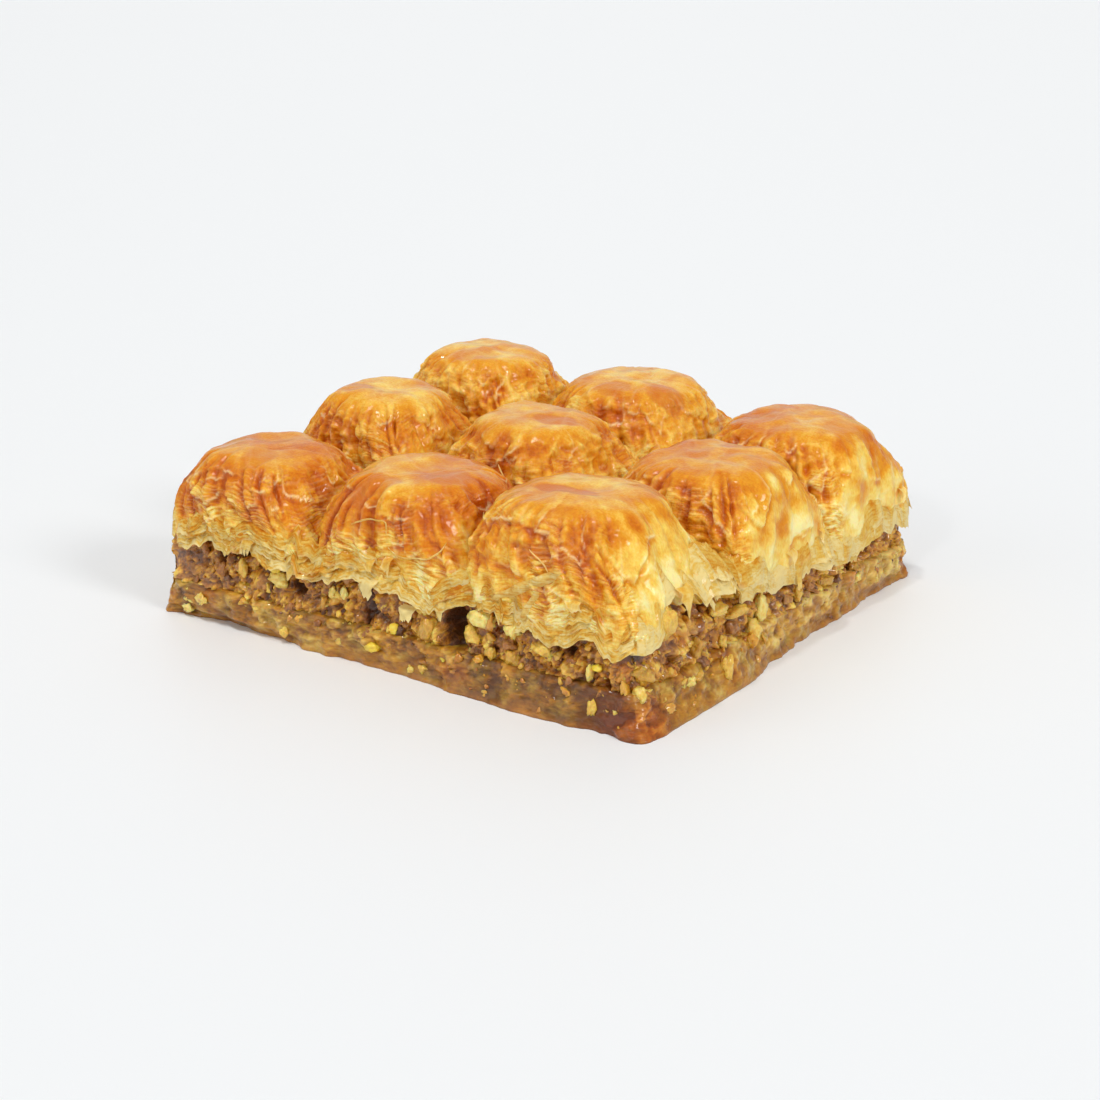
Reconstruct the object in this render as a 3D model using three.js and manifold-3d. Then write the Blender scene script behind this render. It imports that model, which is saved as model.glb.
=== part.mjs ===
// A slab of nine domed baklava squares, three by three, still joined in one block.
// Units are millimetres and +Z is up. The origin is the middle of the flat bottom.
// The x axis runs along the front side from the left corner to the right corner.

import * as THREE from 'three';
import { mergeVertices } from 'three/addons/utils/BufferGeometryUtils.js';
import Module from 'manifold-3d';

const wasm = await Module();
wasm.setup();

// ---------------------------------------------------------------- driving dimensions

const PIECES_PER_SIDE = 3;
const PIECE_PITCH = 42;
const BLOCK_HALF = (PIECES_PER_SIDE * PIECE_PITCH) / 2;
const OUTER_LIMIT = BLOCK_HALF + 0.4;

const BASE_TOP = 8.2;
const BASE_CORNER_RADIUS = 1;
const BASE_UNEVENNESS = 0.9;

const LAYER_GAP = 0.3;
const FILLING_BOTTOM = BASE_TOP + LAYER_GAP;
const FILLING_TOP = 16.5;
const FILLING_HALF = BLOCK_HALF - 1.5;
const FILLING_CORNER_RADIUS = 0.8;
const FILLING_CRAG_DEPTH = 1;
const FILLING_TOP_UNDERCUT = 1.1;

const CUT_WIDTH = 1.2;
const CUT_BOTTOM = 11;
const CLEFT_WIDTH = 3.2;
const CLEFT_DEPTH = 6;

const CHUNKS_PER_SIDE = 17;
const CHUNK_RADIUS_MIN = 1.6;
const CHUNK_RADIUS_MAX = 2.4;
const CHUNK_STRETCH = 1.15;
const CHUNK_KNOB = 1.08;
const CHUNK_LOW = FILLING_BOTTOM + 0.1;
const CHUNK_HIGH = 14.6;

const CRUST_BOTTOM = FILLING_TOP + LAYER_GAP;
const SKIRT_HALF = PIECE_PITCH / 2 - LAYER_GAP;
const SKIRT_DROP = 1.7;
const SKIRT_LIP = 1.1;
const SKIRT_FLARE = 0.9;

const FLANK_STEEPNESS = 4.7;
const CROWN_FLATNESS = 3.7;
const SKIRT_SQUARENESS = 22;
const CROWN_SQUARENESS = 2.4;
const CROWN_START = 0.83;

const PLEATS_CUT_SIDE = 7;
const PLEATS_PLAIN_SIDE = 5;
const PLEAT_DEPTH_CUT_SIDE = 2.4;
const PLEAT_DEPTH_PLAIN_SIDE = 1;
const CRUST_WAVINESS = 0.45;

// Each row lists its pieces from left to right, and the front row comes first.
// lean is how far the crown has crept sideways in baking, height is the crown above the
// ground and crown is half the width of the rounded top.
const CRUSTS = [
  [
    { lean: [-4, -4], height: 40.3, crown: 18 },
    { lean: [-3.5, -2], height: 41, crown: 19 },
    { lean: [-6, -0.5], height: 43, crown: 20.5 },
  ],
  [
    { lean: [-3.5, -4.5], height: 44, crown: 17.5 },
    { lean: [-3, -2], height: 43.7, crown: 18 },
    { lean: [0.5, 0], height: 41.4, crown: 19.5 },
  ],
  [
    { lean: [-2.5, -5.5], height: 45.8, crown: 18.5 },
    { lean: [-3, -2], height: 43.9, crown: 20 },
    { lean: [0, -0.5], height: 40.4, crown: 20 },
  ],
];

// ---------------------------------------------------------------- finishes

const soakedPastry = new THREE.MeshStandardMaterial({
  color: 0xa9824a,
  roughness: 0.35,
  metalness: 0,
});

const walnutFilling = new THREE.MeshStandardMaterial({
  color: 0x9a6f42,
  roughness: 0.7,
  metalness: 0,
});

const goldenCrust = new THREE.MeshStandardMaterial({
  color: 0xd99a3e,
  roughness: 0.28,
  metalness: 0,
});

// ---------------------------------------------------------------- small helpers

const clamp = THREE.MathUtils.clamp;
const lerp = THREE.MathUtils.lerp;

/** Smooth step of a value between 0 and 1. */
function ease(value) {
  const t = clamp(value, 0, 1);
  return t * t * (3 - 2 * t);
}

/** A fixed random number between 0 and 1 for a seed and a count. */
function chance(seed, count) {
  const raw = Math.sin(seed * 12.9898 + count * 78.233) * 43758.5453;
  return raw - Math.floor(raw);
}

/** A fixed random number between two values. */
function chanceBetween(low, high, seed, count) {
  return lerp(low, high, chance(seed, count));
}

/** A closed wave round a ring, about -1 to 1, for a position of 0 to 1 round it. */
function ringWave(seed, position) {
  let sum = 0;
  for (let harmonic = 2; harmonic <= 5; harmonic += 1) {
    const shift = chance(seed, harmonic);
    sum += Math.sin(2 * Math.PI * (harmonic * position + shift)) / harmonic;
  }
  return sum;
}

/** Keeps only the positions, joins equal ones and drops triangles with no area. */
function welded(geometry) {
  const bare = geometry.clone();
  bare.deleteAttribute('normal');
  bare.deleteAttribute('uv');
  const joined = mergeVertices(bare, 1e-4);
  const corners = joined.index.array;
  const kept = [];
  for (let k = 0; k < corners.length; k += 3) {
    const [a, b, c] = [corners[k], corners[k + 1], corners[k + 2]];
    if (a !== b && b !== c && c !== a) {
      kept.push(a, b, c);
    }
  }
  joined.setIndex(kept);
  return joined;
}

/** A closed geometry as a solid that can be joined and cut. */
function toSolid(geometry) {
  const joined = welded(geometry);
  return new wasm.Manifold(
    new wasm.Mesh({
      numProp: 3,
      vertProperties: new Float32Array(joined.attributes.position.array),
      triVerts: new Uint32Array(joined.index.array),
    }),
  );
}

/** A solid back as a geometry. */
function toGeometry(solid) {
  const mesh = solid.getMesh();
  const geometry = new THREE.BufferGeometry();
  geometry.setAttribute('position', new THREE.BufferAttribute(mesh.vertProperties, 3));
  geometry.setIndex(new THREE.BufferAttribute(mesh.triVerts, 1));
  return geometry;
}

/** Moves every vertex of a geometry to the point that a function gives for it. */
function reshape(geometry, place) {
  const positions = geometry.attributes.position;
  const point = new THREE.Vector3();
  for (let k = 0; k < positions.count; k += 1) {
    point.fromBufferAttribute(positions, k);
    const moved = place(point, k);
    positions.setXYZ(k, moved.x, moved.y, moved.z);
  }
  return geometry;
}

function namedMesh(name, geometry, material) {
  geometry.computeVertexNormals();
  const mesh = new THREE.Mesh(geometry, material);
  mesh.name = name;
  return mesh;
}

// ---------------------------------------------------------------- layers under the crust

/** A rounded square outline with extra points along its sides. */
function squareOutline(half, radius, pointsPerSide) {
  const outline = [];
  const straight = half - radius;
  for (let side = 0; side < 4; side += 1) {
    const turn = (side * Math.PI) / 2;
    for (let k = 0; k < pointsPerSide; k += 1) {
      const along = lerp(-straight, straight, k / (pointsPerSide - 1));
      const point = new THREE.Vector2(along, -half);
      outline.push(point.rotateAround(new THREE.Vector2(0, 0), turn));
    }
  }
  return new THREE.Shape(outline);
}

/** An upright block on that outline, from one height to another. */
function squareBlock(half, radius, pointsPerSide, bottom, top, steps) {
  const block = new THREE.ExtrudeGeometry(squareOutline(half, radius, pointsPerSide), {
    depth: top - bottom,
    steps,
    bevelEnabled: false,
    curveSegments: 1,
  });
  block.translate(0, 0, bottom);
  return block;
}

/** How far a point lies from the axis, measured across the nearest side. */
function squareReach(point) {
  return Math.max(Math.abs(point.x), Math.abs(point.y));
}

/** The soaked bottom sheets: a low block with an uneven, slightly flared side. */
function soakedBase() {
  const pointsPerSide = 18;
  const steps = 3;
  const block = squareBlock(OUTER_LIMIT, BASE_CORNER_RADIUS, pointsPerSide, 0, BASE_TOP, steps);
  const spread = (OUTER_LIMIT - BASE_CORNER_RADIUS) / 2;
  return welded(
    reshape(block, (point) => {
      const along = Math.abs(point.x) > Math.abs(point.y) ? point.y : point.x;
      const side = Math.round((Math.atan2(point.y, point.x) / Math.PI) * 2 + 4);
      const level = point.z / BASE_TOP;
      const wobble = chance(side + 11, Math.round(along * 3) + Math.round(level * steps) * 7);
      const middle = Math.exp(-((along / spread) ** 2)) * (1 - level);
      const inward = BASE_UNEVENNESS * (0.25 + 0.75 * wobble) * (1 - middle) * ease(level * 3);
      const scale = 1 - inward / squareReach(point);
      return new THREE.Vector3(point.x * scale, point.y * scale, point.z);
    }),
  );
}

/** The crumbled walnut core, with crags along its sides. */
function fillingCore() {
  const pointsPerSide = 26;
  const steps = 3;
  const block = squareBlock(
    FILLING_HALF,
    FILLING_CORNER_RADIUS,
    pointsPerSide,
    FILLING_BOTTOM,
    FILLING_TOP,
    steps,
  );
  const height = FILLING_TOP - FILLING_BOTTOM;
  return toSolid(
    reshape(block, (point) => {
      const level = Math.round(((point.z - FILLING_BOTTOM) / height) * steps);
      const place = Math.round(point.x * 5) + Math.round(point.y * 5) * 3;
      const rough = chance(level + 31, place) - 0.5;
      const undercut = level === steps ? FILLING_TOP_UNDERCUT : 0;
      const outward = FILLING_CRAG_DEPTH * rough * 2 - undercut;
      const scale = 1 + outward / squareReach(point);
      return new THREE.Vector3(point.x * scale, point.y * scale, point.z);
    }),
  );
}

/** One rough walnut chunk. */
function walnutChunk(seed, radius, centre) {
  const chunk = welded(new THREE.IcosahedronGeometry(1, 0));
  const stretch = new THREE.Vector3(
    radius * chanceBetween(0.75, CHUNK_STRETCH, seed, 1),
    radius * chanceBetween(0.75, CHUNK_STRETCH, seed, 2),
    radius * chanceBetween(0.75, CHUNK_STRETCH, seed, 3),
  );
  const turn = new THREE.Euler(
    chance(seed, 4) * Math.PI,
    chance(seed, 5) * Math.PI,
    chance(seed, 6) * Math.PI,
  );
  return toSolid(
    reshape(chunk, (point, k) => {
      const knobbly = chanceBetween(0.8, CHUNK_KNOB, seed, 10 + k);
      return point.multiply(stretch).multiplyScalar(knobbly).applyEuler(turn).add(centre);
    }),
  );
}

/** Chunks that stand out of the four sides of the filling. */
function walnutChunks() {
  const chunks = [];
  const span = 2 * (FILLING_HALF - 2);
  for (let side = 0; side < 4; side += 1) {
    for (let k = 0; k < CHUNKS_PER_SIDE; k += 1) {
      const seed = 100 + side * CHUNKS_PER_SIDE + k;
      const radius = chanceBetween(CHUNK_RADIUS_MIN, CHUNK_RADIUS_MAX, seed, 20);
      const along = span * ((k + chanceBetween(0.2, 0.8, seed, 21)) / CHUNKS_PER_SIDE - 0.5);
      const reach = radius * CHUNK_STRETCH * CHUNK_KNOB;
      const height = chanceBetween(CHUNK_LOW + reach, CHUNK_HIGH - reach, seed, 22);
      const centre = new THREE.Vector3(along, reach - OUTER_LIMIT, height);
      centre.applyAxisAngle(new THREE.Vector3(0, 0, 1), (side * Math.PI) / 2);
      chunks.push(walnutChunk(seed, radius, centre));
    }
  }
  return chunks;
}

/** The knife cuts between the pieces, wider where they open at the sides. */
function knifeCuts() {
  const cuts = [];
  const depth = FILLING_TOP - CUT_BOTTOM;
  for (let line = 1; line < PIECES_PER_SIDE; line += 1) {
    const offset = -BLOCK_HALF + line * PIECE_PITCH;
    const cut = new THREE.BoxGeometry(CUT_WIDTH, 2 * BLOCK_HALF + 4, 2 * depth);
    cut.translate(offset, 0, FILLING_TOP);
    cuts.push(cut);
    for (const end of [-1, 1]) {
      const cleft = new THREE.CylinderGeometry(CLEFT_WIDTH / 2, CUT_WIDTH / 2, 2 * depth, 6);
      cleft.rotateX(Math.PI / 2);
      cleft.scale(1, CLEFT_DEPTH / CLEFT_WIDTH, 1);
      cleft.translate(offset, end * FILLING_HALF, FILLING_TOP);
      cuts.push(cleft);
    }
  }
  const crosswise = cuts.map((cut) => cut.clone().rotateZ(Math.PI / 2));
  return [...cuts, ...crosswise].map(toSolid);
}

function nutFilling() {
  let filling = fillingCore();
  for (const cut of knifeCuts()) {
    filling = filling.subtract(cut);
  }
  for (const chunk of walnutChunks()) {
    filling = filling.add(chunk);
  }
  return toGeometry(filling);
}

// ---------------------------------------------------------------- domed crusts

const SIDES = [
  { pleats: PLEATS_CUT_SIDE, depth: PLEAT_DEPTH_CUT_SIDE, outward: [0, -1] },
  { pleats: PLEATS_PLAIN_SIDE, depth: PLEAT_DEPTH_PLAIN_SIDE, outward: [1, 0] },
  { pleats: PLEATS_CUT_SIDE, depth: PLEAT_DEPTH_CUT_SIDE, outward: [0, 1] },
  { pleats: PLEATS_PLAIN_SIDE, depth: PLEAT_DEPTH_PLAIN_SIDE, outward: [-1, 0] },
];

// How far up the curve from the skirt to the crown each ring of the crust lies.
const CRUST_RINGS = [0, 0.07, 0.18, 0.32, 0.47, 0.62, 0.77, 0.9];

/** The columns round a crust: a crest and a crease for each pleat of each side. */
function crustColumns() {
  const columns = [];
  SIDES.forEach((side, sideIndex) => {
    for (let k = 0; k < 2 * side.pleats; k += 1) {
      columns.push({ sideIndex, along: k / (2 * side.pleats) });
    }
  });
  return columns;
}

/** True where a side of a piece lies on the outside of the block. */
function isOuterSide(column, row, side) {
  const last = PIECES_PER_SIDE - 1;
  const [outX, outY] = side.outward;
  const onX = (outX < 0 && column === 0) || (outX > 0 && column === last);
  const onY = (outY < 0 && row === 0) || (outY > 0 && row === last);
  return onX || onY;
}

/** Everything that one crust's form depends on. */
function crustForm(column, row) {
  const { lean, height, crown } = CRUSTS[row][column];
  return {
    column,
    row,
    lean,
    height,
    crown,
    seed: 1 + column + PIECES_PER_SIDE * row,
    middle: [
      (column - (PIECES_PER_SIDE - 1) / 2) * PIECE_PITCH,
      (row - (PIECES_PER_SIDE - 1) / 2) * PIECE_PITCH,
    ],
  };
}

/** The direction of a column, with the pleats a little unequal in width. */
function columnAngle(form, place) {
  const { sideIndex, along } = place;
  const drift = chance(form.seed, 50 + sideIndex) - 0.5;
  const warped = along + 0.05 * drift * Math.sin(2 * Math.PI * along);
  return ((sideIndex - 1) * Math.PI) / 2 + Math.atan(2 * warped - 1);
}

/** How deep the crease is at a place on the flank. */
function pleatDepth(form, place, rise) {
  const side = SIDES[place.sideIndex];
  const count = Math.floor(place.along * side.pleats + 0.5);
  const strength = chanceBetween(0.5, 1.3, form.seed, 60 + 10 * place.sideIndex + count);
  const wave = 0.5 + 0.5 * Math.cos(2 * Math.PI * side.pleats * place.along);
  const corner = Math.sin(Math.PI * place.along) ** 0.5;
  const flank = ease(rise / 0.2) * (1 - ease((rise - 0.62) / 0.33));
  return side.depth * strength * wave * corner * flank;
}

/** The point of a crust at a ring (0 at the skirt, 1 at the apex) and a column. */
function crustPoint(form, place, ring) {
  const climb = (ring * Math.PI) / 2;
  const rise = Math.sin(climb) ** (2 / CROWN_FLATNESS);
  const inwardCurve = Math.cos(climb) ** (2 / FLANK_STEEPNESS);
  const rounding = ease(rise / CROWN_START);

  const squareness = lerp(SKIRT_SQUARENESS, CROWN_SQUARENESS, rounding);
  const half = lerp(SKIRT_HALF, form.crown, rounding);
  const angle = columnAngle(form, place);
  const cosine = Math.abs(Math.cos(angle)) ** squareness;
  const sine = Math.abs(Math.sin(angle)) ** squareness;
  const section = half * (cosine + sine) ** (-1 / squareness);

  const position = (place.sideIndex + place.along) / SIDES.length;
  const waviness = CRUST_WAVINESS * ringWave(form.seed, position) * ease(rise / 0.3);
  const radius = (section - pleatDepth(form, place, rise) + waviness) * inwardCurve;
  const [middleX, middleY] = form.middle;
  const [leanX, leanY] = form.lean;
  return new THREE.Vector3(
    middleX + leanX * rounding + radius * Math.cos(angle),
    middleY + leanY * rounding + radius * Math.sin(angle),
    lerp(CRUST_BOTTOM, form.height, rise),
  );
}

/** The hanging edge of the skirt, lower where it lies on the outside of the block. */
function skirtPoint(form, place) {
  const side = SIDES[place.sideIndex];
  const point = crustPoint(form, place, 0);
  if (!isOuterSide(form.column, form.row, side)) {
    return point;
  }
  const count = 200 + 20 * place.sideIndex + Math.round(place.along * 2 * side.pleats);
  const fade = Math.sin(Math.PI * place.along) ** 0.6;
  point.z -= SKIRT_DROP * fade * chanceBetween(0.25, 1, form.seed, count);
  point.x += side.outward[0] * SKIRT_FLARE * fade;
  point.y += side.outward[1] * SKIRT_FLARE * fade;
  point.x = clamp(point.x, -OUTER_LIMIT, OUTER_LIMIT);
  point.y = clamp(point.y, -OUTER_LIMIT, OUTER_LIMIT);
  return point;
}

/** The inner edge of the skirt's underside, level with the flat bottom of the crust. */
function lipPoint(form, place) {
  const point = crustPoint(form, place, 0);
  const [middleX, middleY] = form.middle;
  const reach = Math.max(Math.abs(point.x - middleX), Math.abs(point.y - middleY));
  const scale = 1 - SKIRT_LIP / reach;
  point.x = middleX + (point.x - middleX) * scale;
  point.y = middleY + (point.y - middleY) * scale;
  point.z = CRUST_BOTTOM;
  return point;
}

/** One domed, pleated crust, moulded from the rows and columns of a sphere. */
function domedCrust(column, row) {
  const form = crustForm(column, row);
  const columns = crustColumns();
  const upperRings = [...CRUST_RINGS].reverse();
  const rowsOfPoints = upperRings.length + 3;
  const sphere = new THREE.SphereGeometry(1, columns.length, rowsOfPoints - 1);
  const pointsPerRow = columns.length + 1;
  const [middleX, middleY] = form.middle;

  const moulded = reshape(sphere, (point, k) => {
    const level = Math.floor(k / pointsPerRow);
    const place = columns[(k % pointsPerRow) % columns.length];
    if (level === 0) {
      return new THREE.Vector3(middleX + form.lean[0], middleY + form.lean[1], form.height);
    }
    if (level === rowsOfPoints - 1) {
      return new THREE.Vector3(middleX, middleY, CRUST_BOTTOM);
    }
    if (level === rowsOfPoints - 2) {
      return lipPoint(form, place);
    }
    const ring = upperRings[level - 1];
    return ring === 0 ? skirtPoint(form, place) : crustPoint(form, place, ring);
  });
  return welded(moulded);
}

// ---------------------------------------------------------------- the slab

const slab = new THREE.Group();
slab.add(namedMesh('soaked_base', soakedBase(), soakedPastry));
slab.add(namedMesh('nut_filling', nutFilling(), walnutFilling));
for (let row = 0; row < PIECES_PER_SIDE; row += 1) {
  for (let column = 0; column < PIECES_PER_SIDE; column += 1) {
    const name = `crust_${row + 1}_${column + 1}`;
    slab.add(namedMesh(name, domedCrust(column, row), goldenCrust));
  }
}

export default slab;
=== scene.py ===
"""Looks of a slab of nine domed baklava squares, built round its CAD part.

The script is laid out as an add-on. Property groups hold the sizes and finishes, one operator
builds each group of like pieces, and a panel in the sidebar lists the operators. Lengths inside
the functions are millimetres, and make_piece() writes every mesh in metres.
"""

import math

import bmesh
import bpy
import numpy as np
from bpy.props import FloatProperty, FloatVectorProperty, IntProperty, PointerProperty
from mathutils import Matrix


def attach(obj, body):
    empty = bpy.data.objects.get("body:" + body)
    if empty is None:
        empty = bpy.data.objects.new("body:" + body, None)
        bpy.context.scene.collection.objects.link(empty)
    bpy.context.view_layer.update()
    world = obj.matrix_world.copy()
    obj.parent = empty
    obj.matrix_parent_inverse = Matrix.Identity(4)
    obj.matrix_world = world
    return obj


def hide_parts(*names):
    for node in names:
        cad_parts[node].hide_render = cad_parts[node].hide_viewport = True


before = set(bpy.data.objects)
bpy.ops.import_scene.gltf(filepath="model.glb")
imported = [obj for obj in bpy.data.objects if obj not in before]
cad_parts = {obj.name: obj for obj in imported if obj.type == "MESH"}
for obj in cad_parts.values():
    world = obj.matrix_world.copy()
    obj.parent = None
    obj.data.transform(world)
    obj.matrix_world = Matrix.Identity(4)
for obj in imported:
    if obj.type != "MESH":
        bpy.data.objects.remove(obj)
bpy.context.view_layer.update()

bl_info = {
    "name": "Baklava slab",
    "version": (1, 0, 0),
    "blender": (4, 5, 0),
    "location": "3D view > Sidebar > Baklava",
    "description": "Builds the crusts, filling, base and studio of a slab of baklava",
    "category": "Object",
}


# ------------------------------------------------------------------ sizes and places, in mm

MM = 0.001

# The CAD part's own: distance between the pieces, half width of the slab, height of a crust's
# bottom and half width of its skirt, and the two powers that curve a crust's outline.
PITCH = 42.0
BLOCK_HALF = 63.0
CRUST_BOTTOM = 16.8
SKIRT_HALF = 20.7
FLANK_STEEPNESS = 4.7
CROWN_FLATNESS = 3.7

# Share of a crust's height at which its form has drawn in to the crown's width, and the share at
# which the crown starts.
DRAWN_IN = 0.83
RIM_RISE = 0.9

# How square a crust is at its skirt and at its crown, and how far its flanks wave.
SKIRT_SQUARENESS = 13.0
CROWN_SQUARENESS = 2.4
WAVINESS = 0.45

# Tone of a flank at shares of the way up to the crown, where it is cut and where it is plain.
CUT_TONES = (
    (0, 0.2), (0.15, 0.27), (0.35, 0.38), (0.55, 0.54), (0.8, 0.64), (1.05, 0.56), (1.4, 0.46),
)
PLAIN_TONES = ((0, 0.13), (0.35, 0.21), (0.6, 0.33), (0.8, 0.45), (1, 0.49), (1.3, 0.46))

# How many flutes a plain side has, torn flaps a cut and a plain side, and how many thin sheets
# cross a crown and loose flakes lie on a crust.
PLAIN_FLUTES = 6
CUT_FLAPS = 18
PLAIN_FLAPS = 5
CROWN_SHEETS = 7
LOOSE_FLAKES = 6

# Half the length of a skirt sheet, how far out the base and the core are pressed in from, and
# how far out a nut piece may stand.
SKIRT_END = 62.6
PRESSED_FROM = 66.0
FARTHEST_OUT = 66.6

# Height of the seam between the base and the filling.
SEAM = 8.4

# The base and the filling's core as upright blocks: half width, bottom, top, columns on a side,
# rows, and how round the upright edges are.
BASE_BLOCK = (63.1, 0, 8.5, 260, 26, 5.0)
CORE_BLOCK = (61.7, 8.3, 16.7, 290, 25, 4.0)

# For each piece from left to right, the front row first: lean of the crown along x and y, its
# height and half width, how much darker it is baked, how many flutes a cut side has and how
# deep they are, and how crumpled the sheets are.
CRUSTS = (
    (
        (-4, -4, 39.4, 18, 0.21, 9, 1, 0.3), (-3.5, -2, 41, 19, 0.18, 8, 1.1, 0.25),
        (-6, -0.5, 43, 20.5, 0.01, 11, 0.74, 0.45),
    ),
    (
        (-3.5, -4.5, 44, 17.5, -0.03, 13, 0.75, 0.15), (-3, -2, 43.7, 18, 0.02, 9, 0.55, 0.9),
        (0.5, 0, 41.4, 19.5, 0.03, 10, 0.85, 0.45),
    ),
    (
        (-2.5, -5.5, 45.8, 18.5, -0.12, 10, 0.5, 0.7), (-3, -2, 43.9, 20, -0.06, 7, 0.7, 0.6),
        (0, -0.5, 40.4, 20, 0.05, 10, 0.5, 0.7),
    ),
)

# The sides in order, and for each the way out, how many pleats and how deep they are, 1 where the
# cut sheets show, and 1 where a position along the side grows the same way as the turn round the
# slab, or -1 against it.
SIDES = range(4)
FRONT, RIGHT, BACK, LEFT = SIDES
OUTWARD = np.array([[0, -1], [1, 0], [0, 1], [-1, 0]], float)
PLEATS = np.array([7, 5, 7, 5], float)
PLEAT_DEPTH = np.array([0.9, 0.5, 0.9, 0.5])
CUT_SIDE = np.array([1.0, 0.0, 1.0, 0.0])
OUTWARD_TURN = (1, 1, -1, -1)

# Height of one sheet's edge in a cut flank.
LEAF_PITCH = 0.9

# Large torn flaps: row, column, position round the crust and up it, width, height of the point,
# reach, turn, thickness and how pale. Their seeds start at a number that no other flap has.
NAMED_FLAP_SEED = 900
FLAPS = (
    (0, 2, 48.7, 13.2, 22, 8, 10, 0, 0.6, 0.1), (0, 2, 15, 22.8, 28, -3, 5, 0, 0.5, 0.02),
    (0, 2, 77.6, 13, 6, 4, 8, 0, 0.7, 0.15), (0, 0, 37, 17, 15, 1.5, 6, 0.15, 0.6, 0.12),
    (0, 0, 26, 12.5, 12, 2.5, 6, -0.1, 0.6, 0.18), (0, 0, 14, 12, 12, 3, 6, 0.2, 0.6, 0.15),
    (0, 0, 15, 21, 22, -2.5, 5, 0.15, 0.5, 0), (1, 2, 51.5, 13.8, 14, 6, 8, 0.2, 0.6, 0.1),
    (0, 1, 62, 18.5, 11, 5, 4, 0.3, -0.7, -0.35),
)

# Blisters in a crown where darker sheets show: row, column, place along x and y from the middle
# of the piece, half length, half width, turn and strength.
PATCHES = (
    (0, 2, -8, -4, 9.5, 2.6, 0.08, 0.9), (0, 1, -8, -14.5, 6, 4, 0.5, 0.6),
    (0, 1, 3.7, -5, 6, 5, 0.3, 0.8), (0, 0, -1, -12, 4, 6, 0.2, 0.5),
    (1, 1, 3, -4, 6, 3.5, 0.3, 0.8), (2, 0, -1, -12, 7, 5, 0.2, 0.4),
    (2, 1, -3, -13, 5, 4, 0.2, 0.6), (2, 1, 10, -8, 5, 5, 0.4, 0.6),
    (1, 2, -4.5, 0, 5, 6, 0.2, 0.4), (2, 2, -9, -5, 8, 5, 0.4, 0.45),
    (2, 2, 12, -2, 5, 7, 0, 0.3), (1, 0, -10, -9, 6, 4, 0.4, 0.6),
)

# Dents in a flank: row, column, position round the crust, share of the way up, half width, half
# height and depth.
DENTS = (
    (0, 2, 84, 0.5, 10, 8, 3.2), (2, 0, 84, 0.85, 9, 6, 1.3), (2, 1, 84, 0.85, 9, 6, 1.2),
    (2, 2, 84, 0.85, 10, 7, 1.8), (0, 2, 78, 0.12, 6, 3, -1),
)

# Folded edges that run over a crust: row, column, width, height, then places round and up it.
FOLDS = (
    (0, 2, 3, 0.9, (6.4, 5.3), (15, 9.5), (21, 12), (27.9, 14.9)),
    (0, 2, 2.6, 0.8, (12.4, 0.7), (15.5, 5), (20.1, 10)),
    (
        0, 1, 0.6, 0.5, (11.3, 14.3), (17, 16.5), (23.3, 16.9), (22.9, 11.1), (24.7, 9.8),
        (30, 10), (35.6, 11.1), (42.4, 14.5),
    ),
)

# Where the skirt stands farther out: side, position, width and how far.
FLARES = ((0, 61, 2.5, 1.2), (1, -27, 4, 1.6), (1, -46, 3, 0.8), (1, 14, 4, 1), (0, -22, 3, 0.6))

# Height of the skirt's ragged edge along the front and the right side of the slab.
FRONT_SKIRT = (
    (-63, 16.8), (-55, 17.7), (-51, 20), (-48, 19.5), (-45, 17.8), (-39, 19.6), (-34, 18.3),
    (-28, 17.2), (-25.5, 19.5), (-24.5, 16.2), (-21, 16.4), (-17.5, 18.2), (-16, 17.3), (-12.5, 19),
    (-8, 19.5), (-3.5, 18), (3, 18.5), (3.8, 17), (7, 17.4), (11.5, 15.2), (14, 16.6), (18, 18.3),
    (20.5, 19), (27, 19.9), (29.5, 19.2), (30.2, 17), (32.5, 18), (33, 16.2), (36.5, 17.4),
    (38.3, 15.9), (40, 14.8), (45.3, 15.5), (49, 17.9), (52.5, 18.3), (55, 15.7), (57.5, 15.4),
    (59.8, 16.7), (62, 18.8), (63, 17.6),
)
RIGHT_SKIRT = (
    (-63, 17.6), (-58, 17.2), (-54.5, 17.6), (-52, 20), (-50, 24), (-46.5, 25.5), (-44.5, 21.5),
    (-39, 23), (-36.5, 19.5), (-34, 21.5), (-26.5, 20.8), (-23.5, 17.5), (-20, 16.2), (-15, 16.4),
    (-11, 16), (-8.5, 14), (-3.5, 15.3), (4.5, 14), (9.5, 15.1), (16, 14.7), (22.5, 13),
    (28, 12.1), (29.5, 13.5), (34.5, 12), (36.5, 14.2), (39, 15), (43.5, 15.2), (49.5, 13.8),
    (51, 15), (54.5, 13.4), (59, 12.3), (63, 12.5),
)

# How far the base's foot stands out along the front and the right side, below 0 where its lower
# edge is rounded off.
FRONT_FOOT = (
    (-63, 1), (-60.5, -1.5), (-54, -3.6), (-48, -3.4), (-36, -2.9), (-29, -1.7), (-22, -0.5),
    (-10, -0.9), (3, -0.6), (12, 0.3), (18, 1.3), (28, 1.9), (36, 2.2), (48, 2.1), (53, 1.2),
    (58, 2), (63, 4.6),
)
RIGHT_FOOT = (
    (-63, 4.6), (-58, 3.6), (-55, 4.2), (-50, 3.8), (-24, 4), (-18, 2.8), (-10, 1.2), (0, 0.6),
    (12, 0), (24, 0.3), (31, -0.4), (36, -1.4), (42, -0.4), (63, 0),
)

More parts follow.
